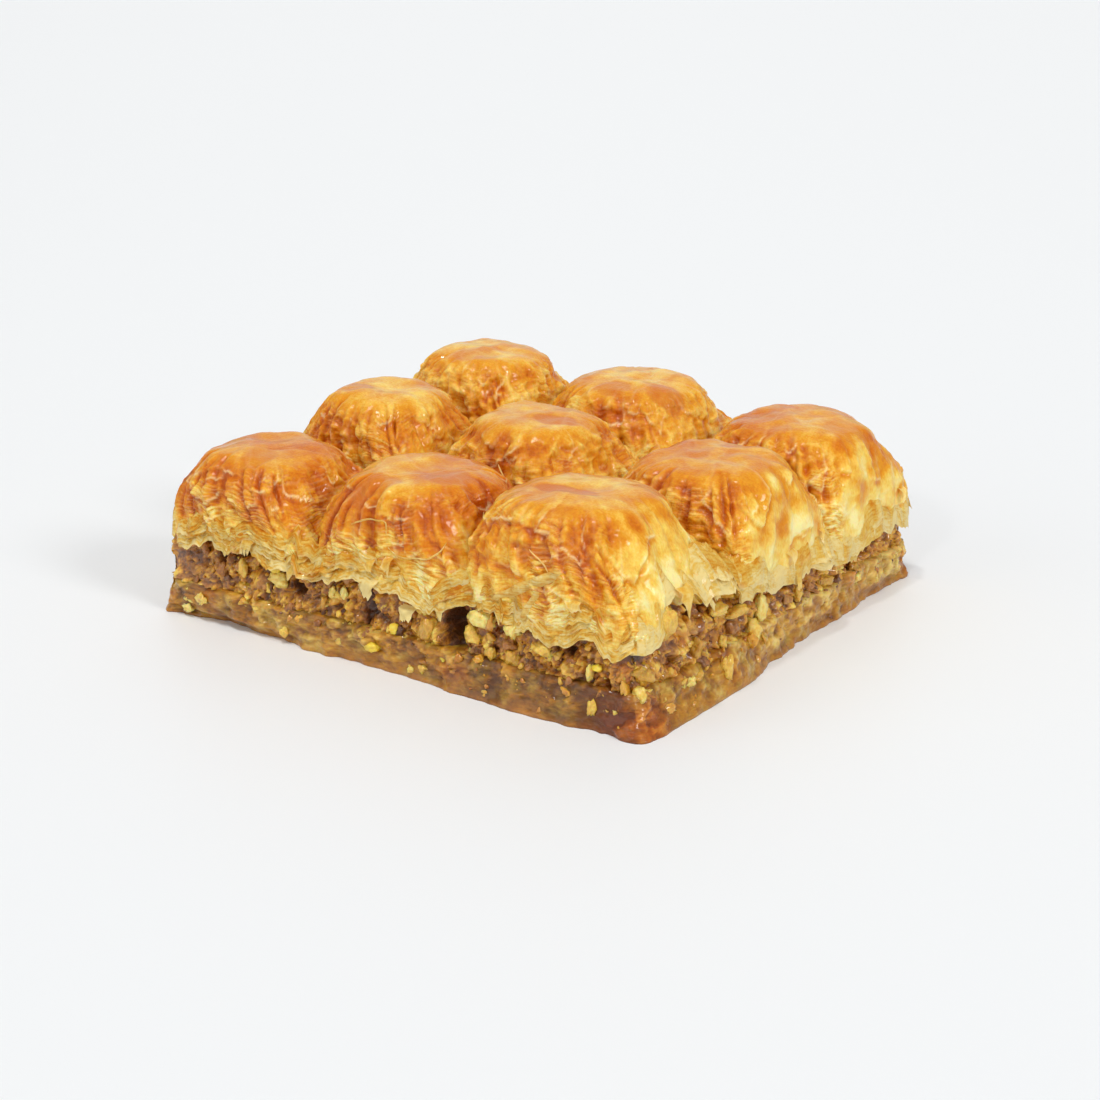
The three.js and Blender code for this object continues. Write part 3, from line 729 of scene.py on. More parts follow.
class Crust:
    """The domed form of one piece: the CAD part's, with shallower pleats and rounder corners."""

    def __init__(self, column, row):
        lean_x, lean_y, self.height, self.crown, self.darker, *self.folded = CRUSTS[row][column]
        self.lean = np.array([lean_x, lean_y], float)
        self.column, self.row = column, row
        self.seed = 1 + column + 3 * row
        self.middle = np.array([(column - 1) * PITCH, (row - 1) * PITCH])
        self.drop = self.height - CRUST_BOTTOM
        rises = np.concatenate([np.linspace(0, 0.98, 300), 1 - np.geomspace(0.02, 1e-6, 60)[1:]])
        inward = (1 - rises**CROWN_FLATNESS) ** (1 / FLANK_STEEPNESS)
        reach = lerp(SKIRT_HALF, self.crown, ease(rises / DRAWN_IN)) * inward
        steps = np.hypot(np.diff(reach), np.diff(rises * self.drop))
        self.rises = rises
        self.climbs = np.concatenate([[0], np.cumsum(steps)])
        self.rim = self.climb_at(RIM_RISE)

    @property
    def node(self):
        """The name of the CAD part's own node."""
        return f"crust_{self.row + 1}_{self.column + 1}"

    def outer(self, side):
        """True where that side lies on the outside of the slab."""
        return (self.row == 0, self.column == 2, self.row == 2, self.column == 0)[side]

    def rise_at(self, climb):
        """The share of the height at a distance up along the flank."""
        return np.interp(climb, self.climbs, self.rises)

    def climb_at(self, rise):
        """The distance up along the flank at a share of the height."""
        return np.interp(rise, self.rises, self.climbs)

    def cut_share(self, side, along):
        """How far a place shows cut, browned sheets: all on the front and back, less on a side
        towards another piece and hardly at all on a plain outer side."""
        plain = [0.05 if self.outer(s) else 0.75 for s in SIDES]
        shares = np.where(CUT_SIDE > 0, 1.0, plain)
        before, after = shares[(side - 1) % 4], shares[(side + 1) % 4]
        place = np.stack([along * 5, side + along * 0, self.seed + along * 0], -1)
        waver = 0.05 * np.sin(np.pi * along) * noise(place, 8)
        waver = waver + 0.1 * (2 * CUT_SIDE[side] - 1)
        low = lerp(before, shares[side], ease((along + waver) / 0.2 + 0.5))
        high = lerp(after, shares[side], ease((1 - along + waver) / 0.2 + 0.5))
        return np.where(along < 0.5, low, high)

    def baked(self, side, along, climb):
        """Tone of the sheets at a place, before any detail: 0 is cream and 1 is rust."""
        share = climb / self.rim
        browned = np.interp(share, *zip(*CUT_TONES))
        plain = np.interp(share, *zip(*PLAIN_TONES))
        return lerp(plain, browned, self.cut_share(side, along)) + self.darker * ease(share / 0.8)

    def creases(self, side, along, climb):
        """How deep the creases between the flutes are, from 0 on the crests to about 1."""
        around = (side + along) * PITCH
        deep = np.zeros(around.shape)
        flutes, depth, _ = self.folded
        for home in SIDES:
            count = flutes if CUT_SIDE[home] else PLAIN_FLUTES
            for k in range(count):
                seed = self.seed * 300 + home * 40 + k
                centre = (home + (k + lerp(0.2, 0.8, chance(seed, 1))) / count) * PITCH
                slant = lerp(-0.12, 0.12, chance(self.seed, 70 + home))
                slant = slant + lerp(-0.05, 0.05, chance(seed, 2))
                low = self.rim * lerp(0.1, 0.6, chance(seed, 3))
                high = self.rim * lerp(0.66, 1.06, chance(seed, 4) ** 0.7)
                wide = lerp(0.55, 1.05, chance(seed, 5))
                off = way_round(around - centre + slant * (climb - 0.7 * self.rim))
                near = np.flatnonzero(np.abs(off) < 4)
                height, off = climb[near], off[near]
                off = off + 0.7 * along_noise(height / 6, seed % 97)
                off = off + 0.25 * along_noise(height / 2, seed % 89)
                valley = np.exp(-(np.abs(off / wide) ** 1.6)) * ease((height - low) / 5)
                valley = valley * (1 - ease((height - high) / 4))
                strength = lerp(0.35, 1.15, chance(seed, 6)) * (depth if CUT_SIDE[home] else 0.4)
                deep[near] = np.maximum(deep[near], strength * valley)
        return deep

    def surface(self, side, along, rise, pleated=True):
        """Points of the form; a rise below 0 goes straight down from the skirt."""
        low = np.clip(rise, 0, 1)
        inward = np.maximum(1 - low**CROWN_FLATNESS, 0) ** (1 / FLANK_STEEPNESS)
        rounding = ease(low / DRAWN_IN)
        squareness = lerp(SKIRT_SQUARENESS, CROWN_SQUARENESS, rounding**0.8)
        half = lerp(SKIRT_HALF, self.crown, rounding)
        angle = (side - 1) * np.pi / 2 + np.arctan(2 * along - 1)
        cosine = np.abs(np.cos(angle)) ** squareness
        sine = np.abs(np.sin(angle)) ** squareness
        section = half * (cosine + sine) ** (-1 / squareness)
        drift = chance(self.seed, 50 + side) - 0.5
        place = np.clip(along - 0.05 * drift * np.sin(2 * np.pi * along), 0, 1)
        wave = sum(
            np.sin(2 * np.pi * (h * (side + place) / 4 + chance(self.seed, h))) / h for h in range(2, 6)
        )
        waviness = WAVINESS * wave * ease(low / 0.3)
        count = np.floor(place * PLEATS[side] + 0.5)
        strength = lerp(0.5, 1.3, chance(self.seed, 60 + 10 * side + count))
        pleats = strength * (0.5 + 0.5 * np.cos(2 * np.pi * PLEATS[side] * place))
        pleats = pleats * np.sin(np.pi * place) ** 0.5
        pleats = pleats * PLEAT_DEPTH[side] * ease(low / 0.2) * (1 - ease((low - 0.62) / 0.33))
        pleats = pleats if pleated else 0
        full = 0.9 * band(low, 0.62, 0.25) * (side == LEFT)
        radius = (section - pleats + waviness + full) * inward
        x = self.middle[0] + self.lean[0] * rounding + radius * np.cos(angle)
        y = self.middle[1] + self.lean[1] * rounding + radius * np.sin(angle)
        return np.stack([x, y, CRUST_BOTTOM + rise * self.drop], -1)


def all_crusts():
    """The nine crusts, the front row first."""
    return [Crust(column, row) for row in range(3) for column in range(3)]


def dome_grid(count, rings):
    """Places and quads of a dome of four side bands, count columns each, and a square crown.

    Returns the side and the position along it, the ring for the bands (0 to rings) and the
    share of the crown (1 at its rim, 0 in its middle), then the quads.
    """
    columns = 4 * count
    ring, column = np.meshgrid(np.arange(rings + 1), np.arange(columns), indexing="ij")
    side = column // count
    along = (column % count) / count
    crown = np.ones(ring.shape)

    steps = np.arange(1, count)
    v, u = np.meshgrid(-1 + 2 * steps / count, -1 + 2 * steps / count, indexing="ij")
    share = np.maximum(np.abs(u), np.abs(v))
    angle = np.arctan2(v, u)
    inner_side = np.floor((angle + 0.75 * np.pi) / (0.5 * np.pi)).astype(int) % 4
    turned = (angle - (inner_side - 1) * 0.5 * np.pi + np.pi) % (2 * np.pi) - np.pi
    inner_along = (np.tan(np.clip(turned, -np.pi / 4, np.pi / 4)) + 1) / 2

    sides = np.concatenate([side.ravel(), inner_side.ravel()])
    alongs = np.concatenate([along.ravel(), inner_along.ravel()])
    ringed = np.concatenate([ring.ravel(), np.full(u.size, rings)])
    crowned = np.concatenate([crown.ravel(), share.ravel()])

    first, second = np.arange(columns), (np.arange(columns) + 1) % columns
    quads = []
    for level in range(rings):
        low, high = level * columns, (level + 1) * columns
        quads.append(np.stack([low + first, low + second, high + second, high + first], -1))
    grid = np.zeros((count + 1, count + 1), int)
    rim = rings * columns
    span = np.arange(count)
    grid[0, span] = rim + span
    grid[span, count] = rim + count + span
    grid[count, count - span] = rim + 2 * count + span
    grid[count - span, 0] = rim + 3 * count + span
    grid[1:-1, 1:-1] = (rings + 1) * columns + np.arange(u.size).reshape(u.shape)
    cap = np.stack([grid[:-1, :-1], grid[:-1, 1:], grid[1:, 1:], grid[1:, :-1]], -1)
    quads.append(cap.reshape(-1, 4))
    return sides, alongs, ringed, crowned, np.concatenate(quads)


def leaf_edges(crust, side, along, climb, creases):
    """The many thin sheets of a flank, seen edge on. Returns the height up the flank that the
    sheets follow, how far each one stands out (-1 to 1), and the lip at its edge, where a painted
    highlight is laid."""
    around = (side + along) * PITCH
    own = np.full(around.shape, crust.seed * 11.3)
    page = climb + 2.2 * rough(np.stack([around / 14, climb / 15, own], -1), 61, 2)
    page = page + 0.5 * noise(np.stack([around / 2.8, climb / 6, own], -1), 62) + 0.9 * creases
    phase = page / LEAF_PITCH
    leaf = np.floor(phase)
    out = noise(np.stack([around / 4.6, leaf * 3.7, own], -1), 63)
    out = out + 0.55 * noise(np.stack([around / 1.5, leaf * 5.3, own], -1), 64)
    lip = band(phase - leaf, 0.8, 0.22) * ease(out + 0.6)
    return page, np.clip(out, -1, 1), lip


def flap_list(crust):
    """Where the torn flaps lie on a crust: position round it and up it, width, height of the
    point, reach, turn, thickness, how pale it is, and a seed. Lower flaps come first."""
    own = (crust.row, crust.column)
    flaps = [flap[2:] + (NAMED_FLAP_SEED + k,) for k, flap in enumerate(FLAPS) if flap[:2] == own]
    for side in SIDES:
        amount = CUT_FLAPS if CUT_SIDE[side] else PLAIN_FLAPS
        for k in range(amount):
            seed = crust.seed * 500 + side * 60 + k
            width = lerp(3, 15, chance(seed, 3) ** 1.6)
            along = lerp(0.04, 0.96, chance(seed, 2))
            level = crust.rim * lerp(0.0, 0.93, (k + chance(seed, 1)) / amount)
            if level < 6 and abs(along - 0.5) > 0.38:
                continue
            flaps.append((
                (side + along) * PITCH, level,
                width, width * lerp(-0.15, 0.5, chance(seed, 9)), lerp(3, 9, chance(seed, 4)),
                lerp(-0.7, 0.7, chance(seed, 5)), lerp(0.1, 0.5, chance(seed, 6) ** 1.5),
                lerp(-0.1, 0.2, chance(seed, 7)), seed,
            ))
    return sorted(flaps, key=lambda flap: flap[1])


def lay_flaps(crust, around, climb, tone):
    """Lays the torn flaps of a crust over one another. Returns the lift, the tone, which carries a
    painted shadow just below each flap's free edge, and how near a place is to a pale edge with a
    painted highlight along it."""
    lift, rim = np.zeros(len(climb)), np.zeros(len(climb))
    for centre, level, width, point, reach, turn, thick, pale, seed in flap_list(crust):
        off = way_round(around - centre)
        rise = climb - level
        near = np.flatnonzero((np.abs(off) < width) & (rise > -width) & (rise < 2 * reach + width))
        off, rise = off[near], rise[near]
        across = off * np.cos(turn) + rise * np.sin(turn)
        above = rise * np.cos(turn) - off * np.sin(turn)
        a = across / (width / 2)
        named = 0 <= seed - NAMED_FLAP_SEED < len(FLAPS)
        tip = 0 if named else lerp(-0.6, 0.6, chance(seed, 10))
        slopes = np.abs(a - tip) / (1 + np.abs(tip))
        jags = along_noise(across / 2.3, seed % 83)
        ragged = 0.7 * (np.abs(jags) - 0.4) + 0.35 * along_noise(across / 0.8, seed % 79)
        above = above - point * slopes ** lerp(0.8, 1.6, chance(seed, 8)) - ragged
        inside = ease(above / 0.4 + 0.5) * ease((1 - np.abs(a) + 0.12 * ragged) / 0.14)
        cover = inside * np.exp(-((np.maximum(above, 0) / reach) ** 2))
        # under marks the painted shadow that a flap's free edge casts on the sheets just below it.
        under = band(above, -0.7, 0.55) * ease((1 - np.abs(a)) / 0.3)
        shown = ease(0.6 + 1.3 * along_noise(across / 3, seed % 71))
        border = np.maximum(band(above, 0.25, 0.3), 0.6 * band(np.abs(a), 0.9, 0.08)) * cover * shown
        own = tone[near] - pale - 0.1 * np.exp(-np.maximum(above, 0) / 1.6) * np.sign(thick)
        laid = lift[near] + thick * cover * np.exp(-np.maximum(above, 0) / reach)
        lift[near] = lerp(laid, thick * cover, 0.4 * cover)
        # Below each flap's edge the tone is darkened by that painted shadow.
        tone[near] = lerp(tone[near] + 0.18 * under, own, 0.75 * cover)
        rim[near] = np.maximum(rim[near] * (1 - cover), border)
    return lift, tone, rim


def closed_below(crust, points, columns):
    """Turns the foot of a crust inwards and closes it. Returns all the points, the quads of the
    turned-in foot and the triangles below."""
    foot = points[:columns].copy()
    reach = np.abs(foot[:, :2] - crust.middle).max(1, keepdims=True)
    foot[:, :2] = crust.middle + (foot[:, :2] - crust.middle) * (1 - 1.3 / reach)
    start = len(points)
    points = np.concatenate([points, foot, [[*crust.middle, CRUST_BOTTOM]]])
    first, second = np.arange(columns), (np.arange(columns) + 1) % columns
    under = np.stack([start + first, start + second, second, first], -1)
    fan = np.stack([np.full(columns, start + columns), start + second, start + first], -1)
    return points, under, fan


def crown_sheets(crust, flat, place, on_crown, lift, tone, rim):
    """Lays wide, thin sheets over one another on a crown. Returns the lift, the tone and how near
    a place is to a sheet's pale edge, which carries a painted highlight."""
    for count in range(CROWN_SHEETS):
        seed = crust.seed * 9 + count
        turn = 2 * np.pi * chance(seed, 1)
        away = (flat - crust.lean) @ np.array([np.cos(turn), np.sin(turn)])
        away = away - 11 * (chance(seed, 2) - 0.4) + 3 * noise(place / 9, 30 + count)
        away = away + 0.8 * noise(place / 2.4, 33 + count)
        there = on_crown * ease(0.6 + 1.5 * noise(place / 12, 36 + count))
        lift = lift + 0.14 * there * ease(away / 0.5) * np.exp(-np.maximum(away, 0) / 6)
        tone = tone + 0.24 * (chance(seed, 3) - 0.5) * there * ease(away / 0.5)
        rim = np.maximum(rim, 0.3 * there * band(away, 0.3, 0.3))
    return lift, tone, rim


def blisters(crust, flat, place):
    """How strongly a place shows a toasted blister, and how far in the blisters press it."""
    toast, dent = np.zeros(len(flat)), np.zeros(len(flat))
    for row, column, x, y, long, short, turn, strength in PATCHES:
        if (row, column) == (crust.row, crust.column):
            spin = np.array([[np.cos(turn), -np.sin(turn)], [np.sin(turn), np.cos(turn)]])
            off = (flat - (x, y)) @ spin / (long, short)
            edge = np.hypot(*off.T) + 0.22 * noise(place / 3, 27)
            spot = ease((1.05 - edge) / 0.3)
            toast = np.maximum(toast, strength * spot)
            dent += 0.35 * spot
    return toast, dent


def dressed_crust(crust, looks):
    """Points, faces and painted values of one crust with its sheets, flutes and flaps.

    The form is laid out first, then its tone, then how far each point moves in or out.
    """
    side, along, ring, crown, quads = dome_grid(looks.columns, looks.rings)
    rim_inward = (1 - RIM_RISE**CROWN_FLATNESS) ** (1 / FLANK_STEEPNESS)
    foot = crust.surface(side, along, np.zeros(len(side)))
    foot_climb = crust.climb_at(foot_lift(foot) / crust.drop)
    flank_rise = crust.rise_at(lerp(foot_climb, crust.rim, ring / looks.rings))
    crown_rise = (1 - (crown * rim_inward) ** FLANK_STEEPNESS) ** (1 / CROWN_FLATNESS)
    rise = np.where(crown < 1, crown_rise, flank_rise)
    crown_climb = crust.rim + (1 - crown) * crust.crown * rim_inward
    climb = np.where(crown < 1, crown_climb, crust.climb_at(rise))
    points = crust.surface(side, along, rise)
    normals = point_normals(points, quads)
    cut = crust.cut_share(side, along)
    share = climb / crust.rim
    on_crown = ease((share - 0.9) / 0.25)
    flank = 1 - on_crown
    around = (side + along) * PITCH
    offset = crust.seed * 13.7
    place = points + offset * 10

    creases = crust.creases(side, along, climb)
    page, out, lip = leaf_edges(crust, side, along, climb, creases)
    lower = 1 - ease((share - 0.35) / 0.5)
    patchy = ease(0.3 + 1.6 * noise(place / 6, 15))
    sheeted = ease(cut * 1.4 - 0.2)
    leafy = flank * sheeted * lerp(0.45, 1, lower) * lerp(0.3, 1, patchy)
    flutes = noise(np.stack([along * 13 + side * 31, climb / 9, side * 3 + offset], -1), 3)
    soft = noise(np.stack([along * 7 + side * 31, climb / 16, side * 3 + offset], -1), 4)

    tone = crust.baked(side, along, climb)
    own_seed = np.full(around.shape, offset)
    stacked = noise(np.stack([around / 2.3, page / 1.5, own_seed], -1), 66)
    stacked += 0.6 * noise(np.stack([around / 1.3, page / 0.9, own_seed], -1), 67)
    broken = lerp(1, 0.85 - 0.7 * stacked, 0.7 * flank)
    # Painted shade in the creases between the flutes, broken up by the stacked noise, and a little painted
    # light on the crests between them.
    painted_crease_shade = 0.5 * (creases * broken - 0.16) * lerp(0.35, 1, cut)
    tone += painted_crease_shade * ease(share / 0.4) * (1 - 0.5 * on_crown)
    # The flutes, raised in the form further down, are made a little paler where they stand out: painted
    # light. The rough noise is the bake's own variation.
    tone += 0.1 * rough(place / 9, 21, 2) - 0.06 * flutes * flank
    folds = noise(np.stack([along * 9 + side * 17, climb / 13, offset + side], -1), 25)
    tone += 0.26 * (1 - cut) * flank * (folds + 0.6 * rough(place / 5, 26, 2)) * ease(share / 0.35)
    lift, tone, rim = lay_flaps(crust, around, climb, tone)
    crumpled = crust.folded[2] * flank * lerp(0.5, 1, cut) * ease(share / 0.3)
    bent = place * (0.22, 0.22, 0.2) + 0.35 * noise(place / 6, 28)[:, None]
    ridges = 0.95 - 2 * np.abs(noise(bent, 24)) - 0.9 * np.abs(noise(bent * 2.3, 26))
    ridges = ridges + 0.35 * noise(place / 1.7, 29)
    lift += 0.8 * crumpled * ridges
    # Painted light and shade: the crumpled ridges raised above are paler and the troughs between them
    # darker.
    tone -= 0.3 * crumpled * ridges
    here = lerp(0.4, 1, ease(0.5 + 1.5 * noise(place / 7, 68)))
    bumpy = flank * sheeted * ease((share - 0.12) / 0.25) * here
    lift += 0.5 * bumpy * stacked
    # Painted light and shade: the raised bumps are paler and the dips between them darker.
    tone -= 0.13 * bumpy * stacked
    least = cut * lerp(0.12, 0.44, ease((share - 0.25) / 0.4)) * (1 - 0.4 * on_crown)
    tone = np.where(tone < least, least + 0.4 * (tone - least), tone)
    crumple = rough(place / 3.2, 11, 3)
    dimples = rough(place / 8, 12, 2)
    flat = points[:, :2] - crust.middle
    lift, tone, rim = crown_sheets(crust, flat, place, on_crown, lift, tone, rim)
    blistered, dent = blisters(crust, flat, place)
    toast = np.maximum(on_crown * ease(1.5 * rough(place / 10, 23, 2) - 0.25) * 0.4, blistered)
    lift = lift - dent

    moved = lift * (1 - 0.6 * on_crown) - 0.1 - 1.25 * creases * lerp(0.5, 1, cut)
    moved += flank * (0.25 * flutes + 0.35 * soft) * lerp(1.6, 1, cut)
    moved += 0.26 * out * leafy + 0.1 * lip * leafy + 0.14 * crumple * lerp(0.5, 1, flank)
    moved += 0.55 * on_crown * dimples
    for row, column, middle, level, wide, tall, depth in DENTS:
        if (row, column) == (crust.row, crust.column):
            off = way_round(around - middle)
            moved -= depth * band(off, 0, wide) * band(climb, level * crust.rim, tall)
    moved *= ease(ring / 3)
    points = points + normals * moved[:, None]

    hanging = np.array([crust.outer(s) for s in SIDES])[side] * (ring == 0)
    fade = np.sin(np.pi * along) ** 0.6
    points[:, :2] -= OUTWARD[side] * (0.8 * fade * hanging)[:, None]

    # Painted light: the crumples and the sheets that stand out, both raised in the form above, are made
    # paler.
    tone -= 0.1 * crumple + 0.1 * out * leafy
    # The lips of the sheets join the rim here, as a painted highlight.
    rim = np.maximum(0.6 * rim * lerp(0.6, 1, flank), 0.38 * lip * leafy)

    columns = 4 * looks.columns
    points, under, fan = closed_below(crust, points, columns)
    pad = np.zeros(columns + 1)
    lined = sheeted * lerp(0.5, 1.2, lower) * lerp(0.35, 1, patchy) * flank
    values = {
        "tone": np.concatenate([tone, pad + 0.3]),
        "rim": np.concatenate([np.clip(rim, 0, 1), pad]),
        "toast": np.concatenate([np.clip(toast, 0, 1), pad]),
        "cut": np.concatenate([lined, pad]),
        "page": np.concatenate([page, pad]),
    }
    return points, [np.concatenate([quads, under]), fan], values


# ------------------------------------------------------------------ ragged skirts

def skirt_height(side, position):
    """Height of the skirt's edge at a position along an outer side of the slab, in mm."""
    if side == FRONT:
        return np.interp(position, *zip(*FRONT_SKIRT))
    if side == RIGHT:
        return np.interp(position, *zip(*RIGHT_SKIRT))
    coarse, fine = along_noise(position / 9, 40 + side), along_noise(position / 3.1, 41 + side)
    return 16.6 + 1.2 * coarse + 0.6 * fine


def oval_spots(table, side, along, height):
    """The strongest of some soft ovals, each given as its side, position, height, half width,
    half height and strength."""
    strongest = np.zeros(np.shape(along))
    for home, middle, level, wide, tall, strength in table:
        away = ((along - middle) / wide) ** 2 + ((height - level) / tall) ** 2
        strongest = np.maximum(strongest, (side == home) * strength * np.exp(-(away**1.5)))
    return strongest


def skirt_sheet(side, layer, columns=300, rows=7):
    """One of the short sheets that end in a torn edge along an outer side of the slab."""
    seed = side * 10 + layer
    cut = CUT_SIDE[side]
    positions = np.linspace(-SKIRT_END, SKIRT_END, columns)
    q, position = np.meshgrid(np.linspace(0, 1, rows), positions, indexing="ij")
    edge = skirt_height(side, position)
    pitch = lerp(1.3, 0.9, cut)
    shared = 0.3 * along_noise(position / 7, 77 + side) + 0.3 * along_noise(position / 2.6, 78 + side)
    torn = ease(0.5 + 1.4 * along_noise(position / 5, seed + 9)) * (1 if layer else 1.3)
    own = 0.5 * along_noise(position / 4.3, seed) + torn * 0.6 * along_noise(position / 2.1, seed + 1)
    tears = 0.35 * torn * along_noise(position / 0.85, seed + 10)
    own += tears + 0.2 * torn * along_noise(position / 0.45, seed + 2)
    own += 0.2 * (chance(seed, 5) - 0.5)
    own += 0.35 * layer / 2 * along_noise(position / 9, seed + 8)
    bottom = edge + layer * pitch + shared * (1 - 0.12 * layer) + own
    z = bottom + lerp(lerp(6.5, 3.8, cut), 0, q)
    reach = 60.8 - 1.6 * np.maximum(z - 19.5, 0)
    for crust in (Crust(*((k, 0), (2, k), (k, 2), (0, k))[side]) for k in range(3)):
        middle = crust.middle[0 if side in (FRONT, BACK) else 1]
        along = (position - middle) / (2 * SKIRT_HALF)
        along = along + 0.5 if side in (FRONT, RIGHT) else 0.5 - along
        near = (along > -0.03) & (along < 1.03)
        level = (z[near] - CRUST_BOTTOM) / crust.drop
        on_crust = crust.surface(np.full(near.sum(), side), np.clip(along[near], 0.002, 0.998), level)
        reach[near] = np.maximum(reach[near], on_crust[:, :2] @ OUTWARD[side])
    ripple = along_noise(position / 1.6, seed + 4, q * 0.5) + 0.8 * along_noise(position / 6, seed + 5)
    present = ease(lerp(0.5, 0.9, cut) + 2 * along_noise(position / 6, seed + 6) - 0.12 * layer)
    present = present if layer else 1
    away = -1.3 + 1.6 * ease(q / 0.55) - 1.6 * (1 - present)
    flare = 0.35 + 0.5 * ripple + 0.8 * ease(1.5 * along_noise(position / 8, 91 + side))
    for home, middle, width, far in FLARES:
        flare = flare + (home == side) * far * band(position, middle, width)
    flare = flare * (1 - 0.8 * (side == RIGHT) * band(position, -57, 8))
    away += (0.25 * q + 0.75 * q**2) * flare * np.interp(layer, (0, 2, 6), (1, 0.9, 0.35))
    wrinkles = 0.22 * along_noise(position / 0.8, seed + 11, q * 1.5)
    away += wrinkles + 0.3 * along_noise(position / 2.4, seed + 12, q * 2)
    corner = 1 - ease((np.abs(position) - 59.5) / 3.2)
    out = reach + away - 1.6 * (1 - corner) + (side == LEFT) * ease((-position - 40) / 15)
    farthest = SKIRT_END - 0.45 * np.maximum(z - 17, 0)
    turned_in = np.minimum(np.abs(position), farthest) * np.sign(position)
    points = side_point(np.full(position.shape, side), turned_in * OUTWARD_TURN[side], out, z)
    # The upper part of each sheet, covered by the sheet that hangs over it, is darker: painted shade.
    tone = 0.04 + 0.11 * cut + 0.16 * (1 - q) + 0.02 * layer + 0.1 * ripple
    tone = tone + 0.16 * along_noise(position / 5, seed + 7, q)
    # The rim along each sheet's torn lower edge is paler, with a painted highlight.
    rim = 0.4 * ease((q - 0.8) / 0.2) * ease(0.5 + 1.5 * along_noise(position / 3, seed + 3))
    page = z - bottom + 5 * layer
    return points.reshape(-1, 3), grid_faces(rows, columns), tone.ravel(), rim.ravel(), page.ravel()


# ------------------------------------------------------------------ loose flakes

def tongue(side, position, top, bottom, width, out, seed, rows=11, columns=11):
    """A small torn sheet that hangs from the skirt over the filling."""
    q, a = np.meshgrid(np.linspace(0, 1, rows), np.linspace(-1, 1, columns), indexing="ij")
    jags = 0.22 * along_noise(a * 1.8, seed) + 0.14 * along_noise(a * 5, seed + 1)
    z = top - (top - bottom) * q * (1 - 0.22 * a * a + jags * q)
    narrow = 1 - lerp(0.3, 0.8, chance(seed, 6)) * q**1.5 + 0.22 * along_noise(q * 4, seed + 2) * np.sign(a)
    lean = lerp(-0.3, 0.3, chance(seed, 7)) * q * width
    along = position + a * narrow * width / 2 + lean + 0.3 * along_noise(q * 2.5, seed + 3)
    buckle = noise(np.stack([a * 1.8, q * 2.2, a * 0 + seed], -1), seed)
    away = out - 1.8 * (1 - ease(q / 0.25)) + 0.4 * buckle - 0.6 * a * a + 0.5 * chance(seed, 5) * q**3
    points = side_point(np.full(a.shape, side), along, away, z)
    return points.reshape(-1, 3), grid_faces(rows, columns), q.ravel(), a.ravel()


def flake(crust, side, along, rise, width, length, lift, lean, seed, rows=9, columns=11):
    """A small torn sheet that lies on a crust and lifts off it towards its lower edge."""
    q, a = np.meshgrid(np.linspace(0, 1, rows), np.linspace(-1, 1, columns), indexing="ij")
    narrow = lerp(1, 0.25 + 0.75 * chance(seed, 1), q**1.3)
    ragged = 0.12 * along_noise(q * 4, seed) * np.sign(a) * np.abs(a)
    across = (a * narrow + ragged) * width / 2 + lean * q * length
    jags = 0.25 * along_noise(a * 2.5, seed + 2) + 0.2 * along_noise(a * 7, seed + 3)
    down = q * length * (1 - 0.25 * a * a + jags * q)
    climb = crust.climb_at(rise) - down
    place = along + across / (2 * SKIRT_HALF)
    sides = np.full(place.shape, side)

    def on_form(place, climb):
        rise = crust.rise_at(np.maximum(climb, 0))
        return crust.surface(sides, np.clip(place, 0.001, 0.999), rise, False)

    points = on_form(place, climb)
    nearby = on_form(place, climb - 0.5)
    along_step = on_form(place + 0.01, climb)
    normal = np.cross(along_step - points, points - nearby)
    normal /= np.maximum(np.linalg.norm(normal, axis=-1, keepdims=True), 1e-9)
    curl = 0.5 * np.abs(a) ** 3 * chance(seed, 4)
    buckle = 0.22 * noise(np.stack([a * 1.6, q * 1.6, a * 0 + seed], -1), seed)
    away = -0.5 + 1.0 * ease(q / 0.25) + lift * q**1.6 + curl + buckle
    points = points + normal * away[..., None]
    return points.reshape(-1, 3), grid_faces(rows, columns), q.ravel(), a.ravel()


def lifted_flakes(crust):
    """Makes the flakes of a crust. Yields each one's points, faces and painted values."""
    for count in range(LOOSE_FLAKES):
        seed = crust.seed * 100 + count
        side = int(chance(seed, 11) * 4)
        along = lerp(0.12, 0.88, chance(seed, 13))
        rise = lerp(0.1, 0.4, chance(seed, 12))
        points, faces, q, a = flake(
            crust, side, along, rise,
            lerp(1.5, 4, chance(seed, 14)), lerp(2, 4, chance(seed, 15)),
            lerp(0.2, 0.7, chance(seed, 16)), lerp(-0.5, 0.5, chance(seed, 17)), seed,
        )
        tone = crust.baked(side, np.full(len(q), along), crust.climb_at(rise) - 6 * q)
        tone = tone - 0.1 * q - 0.14 * chance(seed, 18)
        # The free edges get the rim: paler, with a painted highlight.
        edge = np.maximum(ease((q - 0.8) / 0.2), ease((np.abs(a) - 0.85) / 0.15))
        yield points, faces, {"tone": tone, "rim": 0.5 * edge, "cut": 0.3 * CUT_SIDE[side]}


